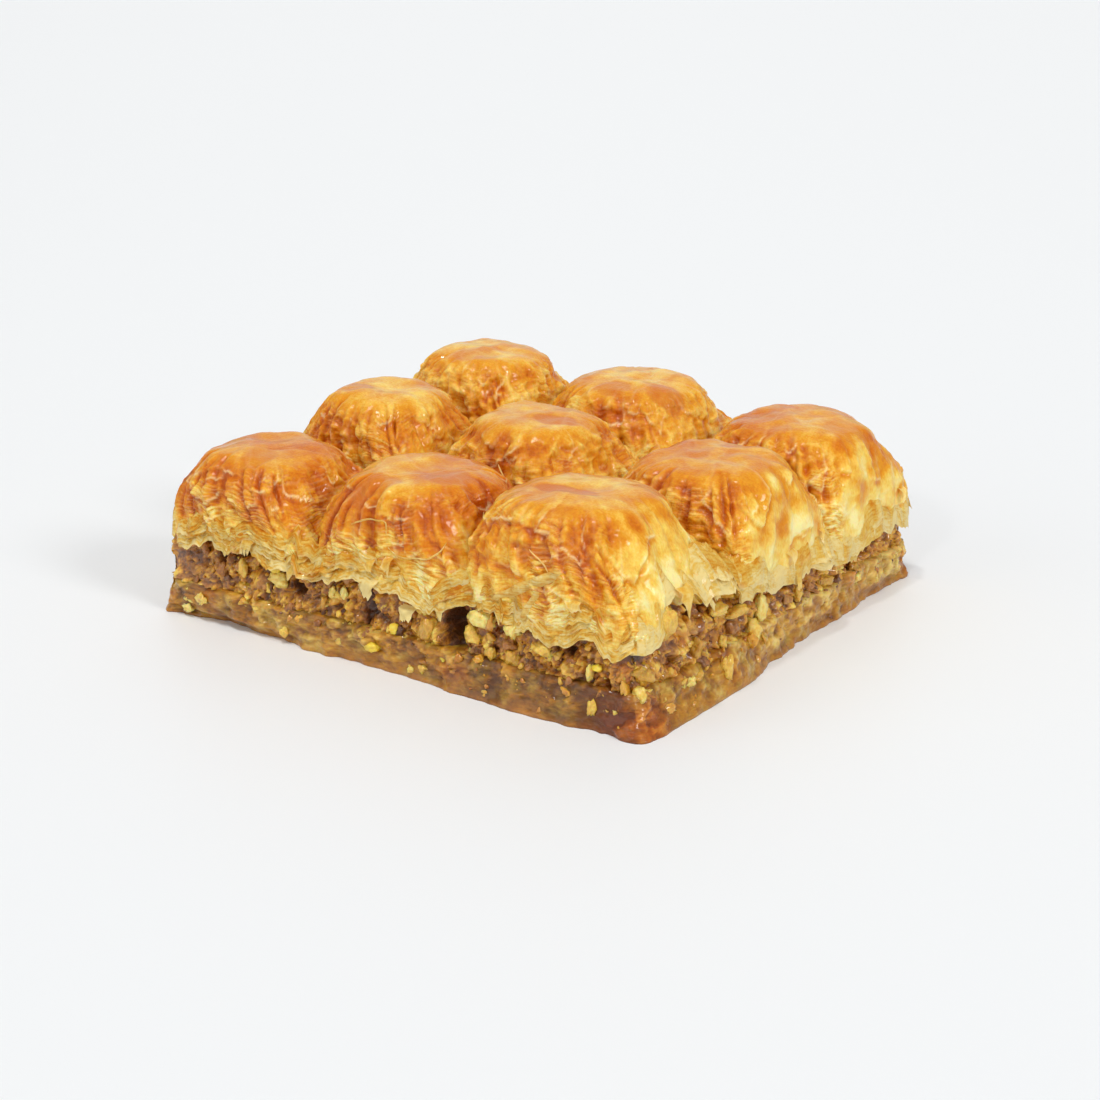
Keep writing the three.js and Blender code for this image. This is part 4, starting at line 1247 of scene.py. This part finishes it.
def ribbon(crust, places, width, height):
    """A narrow folded edge of a sheet that runs over a crust through places given as the
    position round it and up it."""
    stops = np.arange(len(places))
    t = np.linspace(0, len(places) - 1, 12 * len(places))
    smooth = [np.interp(t, stops, [place[k] for place in places]) for k in range(2)]
    kernel = np.hanning(11) / np.hanning(11).sum()
    around, climb = (np.convolve(np.pad(line, 5, "edge"), kernel, "valid") for line in smooth)
    across = np.stack([-np.gradient(climb), np.gradient(around)], -1)
    across /= np.maximum(np.linalg.norm(across, axis=1, keepdims=True), 1e-9)
    taper = np.sin(np.pi * (t + 0.25) / (t[-1] + 0.5)) ** 0.5
    rows = []
    for share, high in ((-1, -0.5), (-0.55, 0.75), (0, 1), (0.4, 0.55), (0.6, -0.5)):
        wide = share * width / 2 * taper * (1 + 0.25 * along_noise(t * 1.3, 7))
        u, v = around + across[:, 0] * wide, climb + across[:, 1] * wide
        home = np.floor(u / PITCH).astype(int)
        on_form = crust.surface(home % 4, u / PITCH - home, crust.rise_at(np.maximum(v, 0)))
        away = on_form - [*crust.middle, CRUST_BOTTOM + 4]
        away /= np.linalg.norm(away, axis=1, keepdims=True)
        rows.append(on_form + away * (height * high * taper)[:, None])
    return np.concatenate(rows), grid_faces(len(rows), len(t))


def ridge_places(crust):
    """Places of the one short ridge that each crust has besides its named folds."""
    seed = crust.seed * 100 + 50
    start = (0.15 + 0.7 * chance(seed, 1) + int(4 * chance(seed, 2))) * PITCH
    level = crust.rim * lerp(0.1, 0.75, chance(seed, 3))
    slope, bend = lerp(-1.6, 1.6, chance(seed, 4)), lerp(-0.5, 0.5, chance(seed, 5))
    return [(start + slope * k + bend * k * k, level + 1.5 * k) for k in range(4)]


# ------------------------------------------------------------------ filling and base

def ball(level):
    """Points and triangles of a unit ball, from an icosahedron split level times."""
    mesh = bmesh.new()
    bmesh.ops.create_icosphere(mesh, subdivisions=level, radius=1)
    points = np.array([v.co[:] for v in mesh.verts])
    faces = np.array([[v.index for v in f.verts] for f in mesh.faces])
    mesh.free()
    return points, faces


def nut_chunk(unit, random, radius, stretch, cuts, deepest):
    """A broken piece of nut: a ball with flat breaks, stretched and turned."""
    points = unit.copy()
    directions = random.normal(size=(cuts, 3))
    directions /= np.linalg.norm(directions, axis=1, keepdims=True)
    reach = points @ directions.T
    limits = random.uniform(deepest, 0.85, cuts)
    scale = np.where(reach > limits, limits / np.maximum(reach, 1e-6), 1).min(1)
    start = random.uniform(0, 90)
    lumps = 1 + 0.24 * noise(points * 2.1 + start, 1) + 0.22 * noise(points * 4.6 + start, 2)
    points *= (scale * lumps)[:, None] * radius * np.asarray(stretch)
    spin = np.linalg.qr(random.normal(size=(3, 3)))[0]
    if np.linalg.det(spin) < 0:
        spin[:, 0] *= -1
    return points @ spin.T


def wall(half, bottom, top, columns, rows, corner):
    """A closed upright block with a fine grid on its four sides. Returns the points, the faces
    and, for the points of the sides, the side, the position along it and the level."""
    level, column = np.meshgrid(np.linspace(0, 1, rows), np.arange(4 * columns), indexing="ij")
    side = column // columns
    along = ((column % columns) / columns * 2 - 1) * half
    squareness = 2 * half / corner
    angle = (side - 1) * np.pi / 2 + np.arctan(along / half)
    section = np.abs(np.cos(angle)) ** squareness + np.abs(np.sin(angle)) ** squareness
    reach = half * section ** (-1 / squareness)
    points = np.stack([reach * np.cos(angle), reach * np.sin(angle), lerp(bottom, top, level)], -1)
    index = np.arange(level.size).reshape(level.shape)
    after = np.roll(index, -1, 1)
    quads = np.stack([index[:-1], after[:-1], after[1:], index[1:]], -1).reshape(-1, 4)
    low, high = level.size, level.size + 1
    fans = np.concatenate([
        np.stack([np.full(index.shape[1], low), after[0], index[0]], -1),
        np.stack([np.full(index.shape[1], high), index[-1], after[-1]], -1),
    ])
    points = np.concatenate([points.reshape(-1, 3), [[0, 0, bottom], [0, 0, top]]])
    return points, [quads, fans], side.ravel(), along.ravel(), level.ravel()


def foot_reach(side, along):
    """How far the base's foot stands out at a position along a side, below 0 where it is
    rounded off."""
    front = np.interp(along, *zip(*FRONT_FOOT))
    right = np.interp(along, *zip(*RIGHT_FOOT))
    other = np.interp(along, (30, 50, 60, 63), (0, 1, 1.5, 1)) * (side == LEFT)
    other = other + 0.5 * along_noise(along / 9, 53)
    return np.where(side == FRONT, front, np.where(side == RIGHT, right, other))


def near_left_corner(side, along):
    """1 at the upright edge between the front and the left side, fading out along both."""
    left, front = ease((along - 36) / 20), ease((-along - 50) / 11.7)
    return np.where(side == LEFT, left, (side == FRONT) * front)


def held_in(flat):
    """Places pressed softly inwards where they stand far outside the slab."""
    far = np.abs(flat)
    pressed = PRESSED_FROM + 1.1 * np.tanh((far - PRESSED_FROM) / 1.1)
    return np.sign(flat) * np.where(far > PRESSED_FROM, pressed, far)


def base_form():
    """The soaked base: its points and faces, and the tone and syrup of its sides."""
    points, faces, side, along, level = wall(*BASE_BLOCK)
    walls = points[:-2]
    lumps = rough(walls * (0.3, 0.3, 0.42), 41, 3)
    broad = rough(walls / 9, 43, 2)
    near_large, gap_large, own_large = cells(walls * (0.3, 0.3, 0.42), 45)
    near_small, gap_small, own_small = cells(walls * (0.6, 0.6, 0.75), 47)
    near_corner = ease((np.abs(along) - 50) / 9)
    crumbly = ease((level - 0.12) / 0.5) * lerp(0.45, 1, ease(0.5 + 1.5 * broad))
    crumbly = np.maximum(crumbly, near_corner)
    syrup = oval_spots(SYRUP, side, along, walls[:, 2])
    out = 0.35 * lumps + 0.45 * broad + 0.4 * syrup
    crumbs = 0.7 * (0.5 - near_large) + 0.8 * (own_large - 0.5)
    crumbs = crumbs + 0.35 * (0.5 - near_small) + 0.3 * (own_small - 0.5)
    out = out + crumbly * crumbs
    grains = rough(walls * (0.35, 0.35, 0.7), 48, 2)
    out = out + 0.5 * grains * lerp(0.5, 1, crumbly) + 0.5 * noise(walls / 3.4, 46)
    out = out + 0.5 * band(level, 0.02, 0.1) - 0.4 * ease(level * 2.4) - 0.6 * ease((level - 0.9) / 0.1)
    foot = foot_reach(side, along)
    outward = np.abs(walls[:, :2] / BASE_BLOCK[0]) ** 8 * np.sign(walls[:, :2])
    outward /= np.linalg.norm(outward, axis=1, keepdims=True)
    slope = np.where(foot > 0, (1 - level) ** 1.2, 1 - ease(walls[:, 2] / 2.8))
    walls += side_point(side, 0 * out, out * np.where(foot > 1, 0.7, 1), 0 * out)
    walls[:, :2] += outward * (foot * slope)[:, None]
    walls[:, 0] -= 2.8 * near_left_corner(side, along)
    walls[:, :2] = held_in(walls[:, :2])
    # Painted shade in the cracks between the crumbs.
    crack_shade = ease(1 - gap_large / 0.2) + 0.6 * ease(1 - gap_small / 0.2)
    mottled = 0.4 * (own_large - 0.5) + 0.2 * (own_small - 0.5) - 0.1 * crack_shade
    tone = 0.45 + 0.18 * broad + crumbly * mottled
    tone = tone + 0.3 * (side % 2) * ease((level - 0.2) / 0.3) * ease((along * OUTWARD[side, 0] + 25) / 30)
    tone = tone + 0.16 * ease(1.6 * noise(walls / 11, 49)) * ease((level - 0.15) / 0.3)
    tone = tone - 0.26 * (side == FRONT) * ease((along - 14) / 14) + 0.1 * grains
    return points, faces, tone, syrup


def core_form():
    """The filling's core: its points and faces, and the shade, skin and syrup of its sides."""
    points, faces, side, along, level = wall(*CORE_BLOCK)
    low, high = CORE_BLOCK[1:3]
    walls = points[:-2]
    for home in SIDES:
        there = side == home
        top = np.maximum(high, skirt_height(home, along[there] * OUTWARD_TURN[home]) + 1.6)
        walls[there, 2] = lerp(low, top, level[there])
    near_large, gap_large, own_large = cells(walls / 3.2, 31)
    near_small, gap_small, own_small = cells(walls / 1.3, 35)
    own_skin = cells(walls / 2.6, 33)[2]
    hollow = oval_spots(HOLLOWS, side, along, walls[:, 2])
    out = 1.5 * (0.5 - near_large) + 2 * (own_large - 0.5) + 1.3 * (0.5 - near_small)
    out = out + 0.9 * (own_small - 0.5)
    out = out + 0.6 * noise(walls / 0.8, 37) - 0.4 - 1.0 * ease((level - 0.85) / 0.15)
    out = out - 0.35 * np.maximum(walls[:, 2] - 15.5, 0) - hollow
    for middle, width, foot in ((-21, 1.6, 0.5), (18.2, 2.6, 0.15)):
        out = out - 7 * (side > 1) * band(along, middle, width) * ease((level - foot) / 0.2)
    out = np.where(np.abs(along) > 57, np.maximum(out, -0.8), out)
    walls += side_point(side, 0 * out, out, 0 * out)
    walls[:, 0] -= 4.2 * near_left_corner(side, along)
    walls[:, :2] = held_in(walls[:, :2])
    # Painted shade: the cracks between the crumbs are darkened.
    crack_shade = ease(1 - gap_large / 0.18) + 0.6 * ease(1 - gap_small / 0.2)
    # The hollows are darkened as well: painted shade.
    tone = 0.2 + 0.45 * own_large + 0.34 * own_small - 0.2 * crack_shade - 0.3 * np.minimum(hollow, 2)
    skin_share = ease((own_skin - 0.6) / 0.12) * ease((0.75 - own_small) / 0.1)
    syrup = oval_spots(SYRUP, side, along, walls[:, 2])
    return points, faces, tone, skin_share, syrup


def wall_reach(walls, block, side, along, height):
    """How far out a block's side lies at a position along it and a height."""
    half, columns = block[0], block[3]
    column = int(np.clip((along / half + 1) / 2 * columns, 0, columns - 1)) + side * columns
    line = walls.reshape(-1, 4 * columns, 3)[:, column]
    return line[np.abs(line[:, 2] - height).argmin(), :2] @ OUTWARD[side]


def set_in(chunk, kind, side, along, height, radius, reach, sunk):
    """Moves a nut piece to its place, part sunk into the side of the slab."""
    out = reach - radius * sunk
    if kind in SMOOTH_NUTS:
        out += 0.2 * radius
    limit = FARTHEST_OUT - 0.9 * radius
    out = min(out, limit)
    round_off = (abs(along / out) ** 31 + 1) ** (-1 / 31)
    place = (along * round_off, out * round_off, height)
    centre = side_point(side, *(np.array(value) for value in place))
    centre[:2] = np.clip(centre[:2], -limit, limit)
    centre[2] = max(height, 0.1 - chunk[:, 2].min())
    return chunk + centre


def nut_pieces(kind, count, radii, thin, lowest, low_down, walls, balls, random):
    """Makes the pieces of one kind, first those with a place of their own and then the loose
    ones, count on each side. Yields each one's points, faces and shade, and 1 where walnut skin
    covers it."""

    def reach_at(side, along, height):
        block = BASE_BLOCK if height < SEAM else CORE_BLOCK
        return wall_reach(walls[block], block, side, along, height)

    for side, along, height, radius, wide, tall in (nut[1:] for nut in NUTS if nut[0] == kind):
        own = random.uniform(0.5, 0.95)
        radius *= 0.9
        unit, faces = balls[2]
        breaks = SMOOTH_BREAKS if kind in SMOOTH_NUTS else ROUGH_BREAKS
        chunk = nut_chunk(unit, random, radius, (1, 1, 1), *breaks)
        chunk = chunk * ((wide, 0.8, tall) if side == FRONT else (0.8, wide, tall))
        reach = max(reach_at(side, along, height), 62.2)
        sunk = 0.75 * random.uniform(*SUNK)
        points = set_in(chunk, kind, side, along, height, radius, reach, sunk)
        yield points, faces, own, float(random.random() < SKINNED)

    for side in (k % 4 for k in range(4 * count)):
        own = random.uniform(0.1, 0.8)
        radius = lerp(*radii, random.random() ** 2)
        along = random.uniform(-60.8, 60.8)
        highest = 8.5 if low_down else max(16, skirt_height(side, along * OUTWARD_TURN[side]) - 0.2)
        share = random.random() ** (1.6 if low_down else 0.75)
        height = lerp(lowest + 0.3 * radius, highest, share)
        stretch = (1, random.uniform(thin, 1), random.uniform(thin, 1))
        unit, faces = balls[int(radius > 0.5) + int(radius > 1.6)]
        chunk = nut_chunk(unit, random, radius, stretch, *ROUGH_BREAKS)
        undercut = height < 4 and foot_reach(side, np.array(along)) < -0.5
        if undercut or oval_spots(HOLLOWS, side, along, height) > 0.8:
            continue
        # some of the brown pieces are left out where they would lie on the base
        if height < SEAM and kind in ("crumb", "fine", "skin") and random.random() < 0.3:
            continue
        sunk = random.uniform(*SUNK)
        reach = reach_at(side, along, height)
        points = set_in(chunk, kind, side, along, height, radius, reach, sunk)
        yield points, faces, own, float(random.random() < SKINNED)


# ------------------------------------------------------------------ settings

def colour(name, description, *screen):
    """A colour setting, its default given as 0 to 255 on a screen."""
    return FloatVectorProperty(
        name=name, description=description, default=shade(*screen)[:3], subtype="COLOR", size=3,
        min=0, max=1,
    )


def quantity(name, description, default, least, most):
    """A setting that counts things."""
    return IntProperty(name=name, description=description, default=default, min=least, max=most)


def fraction(name, description, default):
    """A setting from 0 to 1."""
    return FloatProperty(
        name=name, description=description, default=default, min=0, max=1, subtype="FACTOR",
    )


def brightness(name, description, default):
    """The strength of a light."""
    return FloatProperty(name=name, description=description, default=default, min=0)


class BaklavaPastry(bpy.types.PropertyGroup):
    """Detail and finish of the crusts and their loose sheets."""

    columns: quantity("Columns", "Columns of a crust's mesh on each side", 80, 20, 120)
    rings: quantity("Rings", "Rings of a crust's mesh up its flank", 76, 20, 140)
    translucency: fraction("Translucency", "Share of light that scatters in the crust", 0.45)
    syrup: fraction("Syrup", "Share of the clear syrup coat", 0.55)
    cream: colour("Cream", "Palest sheets, low on the flank", 255, 235, 160)
    straw: colour("Straw", "Lightly baked sheets", 245, 206, 94)
    golden: colour("Golden", "Golden crests of the sheets", 229, 157, 34)
    # Amber and rust are reached mostly in the creases, where the tone is bake deepened by painted shade.
    amber: colour("Amber", "Well baked creases", 213, 120, 11)
    rust: colour("Rust", "Deepest creases", 188, 86, 4)
    toasted: colour("Toasted", "Browned patches of the crown", 205, 112, 36)
    # Rim paints the sheets' thin edges paler, with a painted highlight along them.
    rim: colour("Rim", "Thin bright edges of the sheets", 255, 238, 182)


class BaklavaFilling(bpy.types.PropertyGroup):
    """Nuts and crumbs of the filling."""

    crumbs: quantity("Crumbs", "Walnut crumbs on each side of the slab", 140, 0, 600)
    pale: quantity("Pale chunks", "Pale nut chunks on each side of the slab", 60, 0, 300)
    skins: quantity("Skins", "Walnut skins on each side of the slab", 30, 0, 300)
    flesh: quantity("Walnut flesh", "Tan pieces of walnut on each side of the slab", 40, 0, 300)
    amber: quantity("Amber crumbs", "Syrupy crumbs low on each side of the slab", 44, 0, 300)


class BaklavaStudio(bpy.types.PropertyGroup):
    """Camera, floor and lights."""

    lens: FloatProperty(name="Lens", description="Focal length of the camera", default=75.27, unit="CAMERA")
    sky: brightness("Sky", "Strength of the even white surroundings", 0.41)
    key: brightness("Key", "Strength of the soft light at the right", 1.0)
    top: brightness("Top", "Strength of the soft light above", 0.75)
    glint: brightness("Glint", "Strength of the two small lights", 0.5)
    back: brightness("Back", "Strength of the soft light behind", 0.25)
    front: brightness("Front", "Strength of the soft light at the front left", 0.35)


# ------------------------------------------------------------------ operators

class BAKLAVA_OT_crusts(bpy.types.Operator):
    """Build the nine domed crusts"""

    bl_idname = "baklava.crusts"
    bl_label = "Crusts"

    def execute(self, context):
        looks = context.scene.baklava_pastry
        finish = pastry_finish("golden_crust", looks)
        for crust in all_crusts():
            points, faces, values = dressed_crust(crust, looks)
            piece = make_piece(f"domed_{crust.node}", points, faces, finish, values)
            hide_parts(crust.node)
        return {"FINISHED"}


class BAKLAVA_OT_sheets(bpy.types.Operator):
    """Build the ragged skirts and the loose flakes of the crusts"""

    bl_idname = "baklava.sheets"
    bl_label = "Skirts and flakes"

    def execute(self, context):
        looks = context.scene.baklava_pastry
        finish = pastry_finish("thin_pastry", looks, thin=0.28)
        skirts, flakes = Collected(), Collected()
        for side in SIDES:
            for layer in range(6 if CUT_SIDE[side] else 4):
                points, faces, tone, rim, page = skirt_sheet(side, layer)
                cut = lerp(0.5, 0.9, CUT_SIDE[side])
                skirts.add(points, faces, tone=tone, rim=rim, toast=0, cut=cut, page=page)
        for crust in all_crusts():
            for points, faces, painted in lifted_flakes(crust):
                flakes.add(points, faces, toast=0, page=points[:, 2], **painted)
            points, faces = ribbon(crust, ridge_places(crust), 0.45, 0.35)
            flakes.add(points, faces, tone=0.15, rim=0.25, toast=0, cut=0, page=points[:, 2])
        for row, column, width, height, *places in FOLDS:
            points, faces = ribbon(Crust(column, row), places, width, height)
            flakes.add(points, faces, tone=0.2, rim=0.1, toast=0, cut=0.8, page=points[:, 2])
        for count, (side, position, top, bottom, width, out, tone) in enumerate(TONGUES):
            points, faces, q, a = tongue(side, position, top, bottom, width, out, 40 + count)
            # The edges get the rim: paler, with a painted highlight.
            edge = np.maximum(ease((q - 0.85) / 0.15), ease((np.abs(a) - 0.85) / 0.15))
            # Darker towards the top, where the tongue is tucked under the skirt: painted shade.
            tone, page = tone + 0.12 * (1 - q), 0.5 * points[:, 2]
            skirts.add(points, faces, tone=tone, rim=0.4 * edge, toast=0, cut=0.3, page=page)
        skirts.build("hanging_skirts", finish, "golden_crust")
        flakes.build("loose_flakes", finish, "golden_crust")
        return {"FINISHED"}


class BAKLAVA_OT_filling(bpy.types.Operator):
    """Build the crumbly nut filling"""

    bl_idname = "baklava.filling"
    bl_label = "Nut filling"

    def execute(self, context):
        settings = context.scene.baklava_filling
        finishes = nut_finishes()
        points, faces, tone, skin_share, syrup = core_form()
        values = {
            "shade": np.append(tone, (0.3, 0.3)),
            "skin": np.append(skin_share, (0, 0)),
            "syrup": np.append(syrup, (0, 0)),
        }
        core = make_piece("filling_core", points, faces, finishes["crumb"], values)
        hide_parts("nut_filling")

        # finish, count on each side, radii, thinnest stretch, lowest height, whether it keeps low
        kinds = {
            "crumb": ("crumb", settings.crumbs, (0.5, 2.4), 0.5, 5.5, False),
            "fine": ("crumb", 400, (0.2, 0.6), 0.5, 3.5, False),
            "skin": ("skin", settings.skins, (0.6, 1.8), 0.3, 5.0, False),
            "flesh": ("flesh", settings.flesh, (0.6, 2.6), 0.5, 3.0, False),
            "pale": ("pale", settings.pale, (0.4, 2.0), 0.45, 3.0, False),
            "amber": ("amber", settings.amber, (0.4, 1.6), 0.6, 0.8, True),
            "yellow": ("yellow", 1, (0.5, 0.9), 0.7, 6.0, False),
        }
        walls = {BASE_BLOCK: base_form()[0][:-2], CORE_BLOCK: points[:-2]}
        balls = [ball(level) for level in (1, 2, 3)]
        random = np.random.default_rng(5)
        for kind, (finish, *scatter) in kinds.items():
            gathered = Collected()
            for placed, triangles, own, tinted in nut_pieces(kind, *scatter, walls, balls, random):
                gathered.add(placed, triangles, shade=own, skin=tinted)
            gathered.build(f"{kind}_pieces", finishes[finish], "walnut_filling")
        return {"FINISHED"}


class BAKLAVA_OT_base(bpy.types.Operator):
    """Build the soaked bottom sheets"""

    bl_idname = "baklava.base"
    bl_label = "Soaked base"

    def execute(self, context):
        points, faces, tone, syrup = base_form()
        values = {"shade": np.append(tone, (0.5, 0.5)), "syrup": np.append(syrup, (0, 0))}
        base = make_piece("soaked_layers", points, faces, soaked_finish(), values)
        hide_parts("soaked_base")
        return {"FINISHED"}


def turned(across, upward, back, place):
    """A matrix that stands an object at a place, from the directions of its three axes."""
    rows = [(across[k], upward[k], back[k], place[k]) for k in range(3)]
    return Matrix(rows + [(0, 0, 0, 1)])


def soft_sun(scene, name, place, energy, spread):
    """A wide, distant light that shines from a place towards the middle of the slab. Its spread
    is in degrees."""
    light = bpy.data.lights.new(name, "SUN")
    light.energy = energy
    light.angle = math.radians(spread)
    holder = bpy.data.objects.new(name, light)
    back = np.array(place) / np.linalg.norm(place)
    across = np.cross((0, 0, 1), back)
    across /= np.linalg.norm(across)
    holder.matrix_world = turned(across, np.cross(back, across), back, place)
    scene.collection.objects.link(holder)


def set_camera(scene, lens):
    """The camera in front of the slab's right corner, looking down on it a little."""
    camera_data = bpy.data.cameras.new("camera")
    camera_data.lens = lens
    camera_data.sensor_width = 36
    camera = bpy.data.objects.new("camera", camera_data)
    turn, pitch, roll = math.radians(CAMERA_TURN), CAMERA_PITCH, CAMERA_ROLL
    ahead = np.array([-math.sin(turn), math.cos(turn), 0])
    level_right = np.array([math.cos(turn), math.sin(turn), 0])
    forward = math.cos(pitch) * ahead - math.sin(pitch) * np.array([0, 0, 1])
    level_up = math.sin(pitch) * ahead + math.cos(pitch) * np.array([0, 0, 1])
    right = level_right * math.cos(roll) + level_up * math.sin(roll)
    upward = -level_right * math.sin(roll) + level_up * math.cos(roll)
    camera.matrix_world = turned(right, upward, -forward, CAMERA_STAND)
    scene.collection.objects.link(camera)
    scene.camera = camera


class BAKLAVA_OT_stage(bpy.types.Operator):
    """Set up the floor, the soft studio lights and the camera"""

    bl_idname = "baklava.stage"
    bl_label = "Stage"

    def execute(self, context):
        studio = context.scene.baklava_studio
        scene = context.scene
        floor_finish = Finish("pale_floor")
        bare = floor_finish.surface({"Base Color": (0.86, 0.876, 0.886, 1), "Roughness": 0.5})
        half = FLOOR_HALF
        mesh = bpy.data.meshes.new("floor")
        corners = [(-half, -half, 0), (half, -half, 0), (half, half, 0), (-half, half, 0)]
        mesh.from_pydata(corners, [], [(0, 1, 2, 3)])
        mesh.materials.append(bare)
        floor = bpy.data.objects.new("floor", mesh)
        scene.collection.objects.link(floor)

        world = bpy.data.worlds.new("studio")
        world.use_nodes = True
        background = world.node_tree.nodes["Background"]
        background.inputs["Color"].default_value = (1, 1, 1, 1)
        background.inputs["Strength"].default_value = studio.sky
        scene.world = world

        for name, place, energy, spread in (
            ("key_light", (0.75, -0.1, 0.45), studio.key, 16),
            ("top_light", (0.1, -0.3, 0.95), studio.top, 14),
            ("small_light", (-0.15, -0.2, 0.95), studio.glint, 5),
            ("near_light", (0.1, -0.85, 0.5), 0.6 * studio.glint, 4.4),
            ("back_light", (-0.45, 0.75, 0.5), studio.back, 50),
            ("front_light", (-0.5, -0.75, 0.35), studio.front, 40),
        ):
            soft_sun(scene, name, place, energy, spread)
        set_camera(scene, studio.lens)
        scene.view_settings.view_transform = "Standard"
        return {"FINISHED"}


class BAKLAVA_PT_panel(bpy.types.Panel):
    """Lists the operators and their settings"""

    bl_idname = "BAKLAVA_PT_panel"
    bl_label = "Baklava slab"
    bl_space_type = "VIEW_3D"
    bl_region_type = "UI"
    bl_category = "Baklava"

    def draw(self, context):
        for operator in OPERATORS:
            self.layout.operator(operator.bl_idname)
        for settings in SETTINGS:
            group = getattr(context.scene, settings)
            box = self.layout.box()
            for key in group.bl_rna.properties.keys():
                if key not in ("rna_type", "name"):
                    box.prop(group, key)


OPERATORS = (
    BAKLAVA_OT_crusts,
    BAKLAVA_OT_sheets,
    BAKLAVA_OT_filling,
    BAKLAVA_OT_base,
    BAKLAVA_OT_stage,
)
SETTINGS = {
    "baklava_pastry": BaklavaPastry,
    "baklava_filling": BaklavaFilling,
    "baklava_studio": BaklavaStudio,
}
CLASSES = (*SETTINGS.values(), *OPERATORS, BAKLAVA_PT_panel)


def register():
    """Registers the classes and gives the scene their settings."""
    for cls in CLASSES:
        bpy.utils.register_class(cls)
    for name, cls in SETTINGS.items():
        setattr(bpy.types.Scene, name, PointerProperty(type=cls))


def unregister():
    """Takes the settings and the classes away again."""
    for name in SETTINGS:
        delattr(bpy.types.Scene, name)
    for cls in reversed(CLASSES):
        bpy.utils.unregister_class(cls)


def main():
    """Builds everything in order."""
    register()
    bpy.ops.baklava.crusts()
    bpy.ops.baklava.sheets()
    bpy.ops.baklava.filling()
    bpy.ops.baklava.base()
    bpy.ops.baklava.stage()


if __name__ == "__main__":
    main()
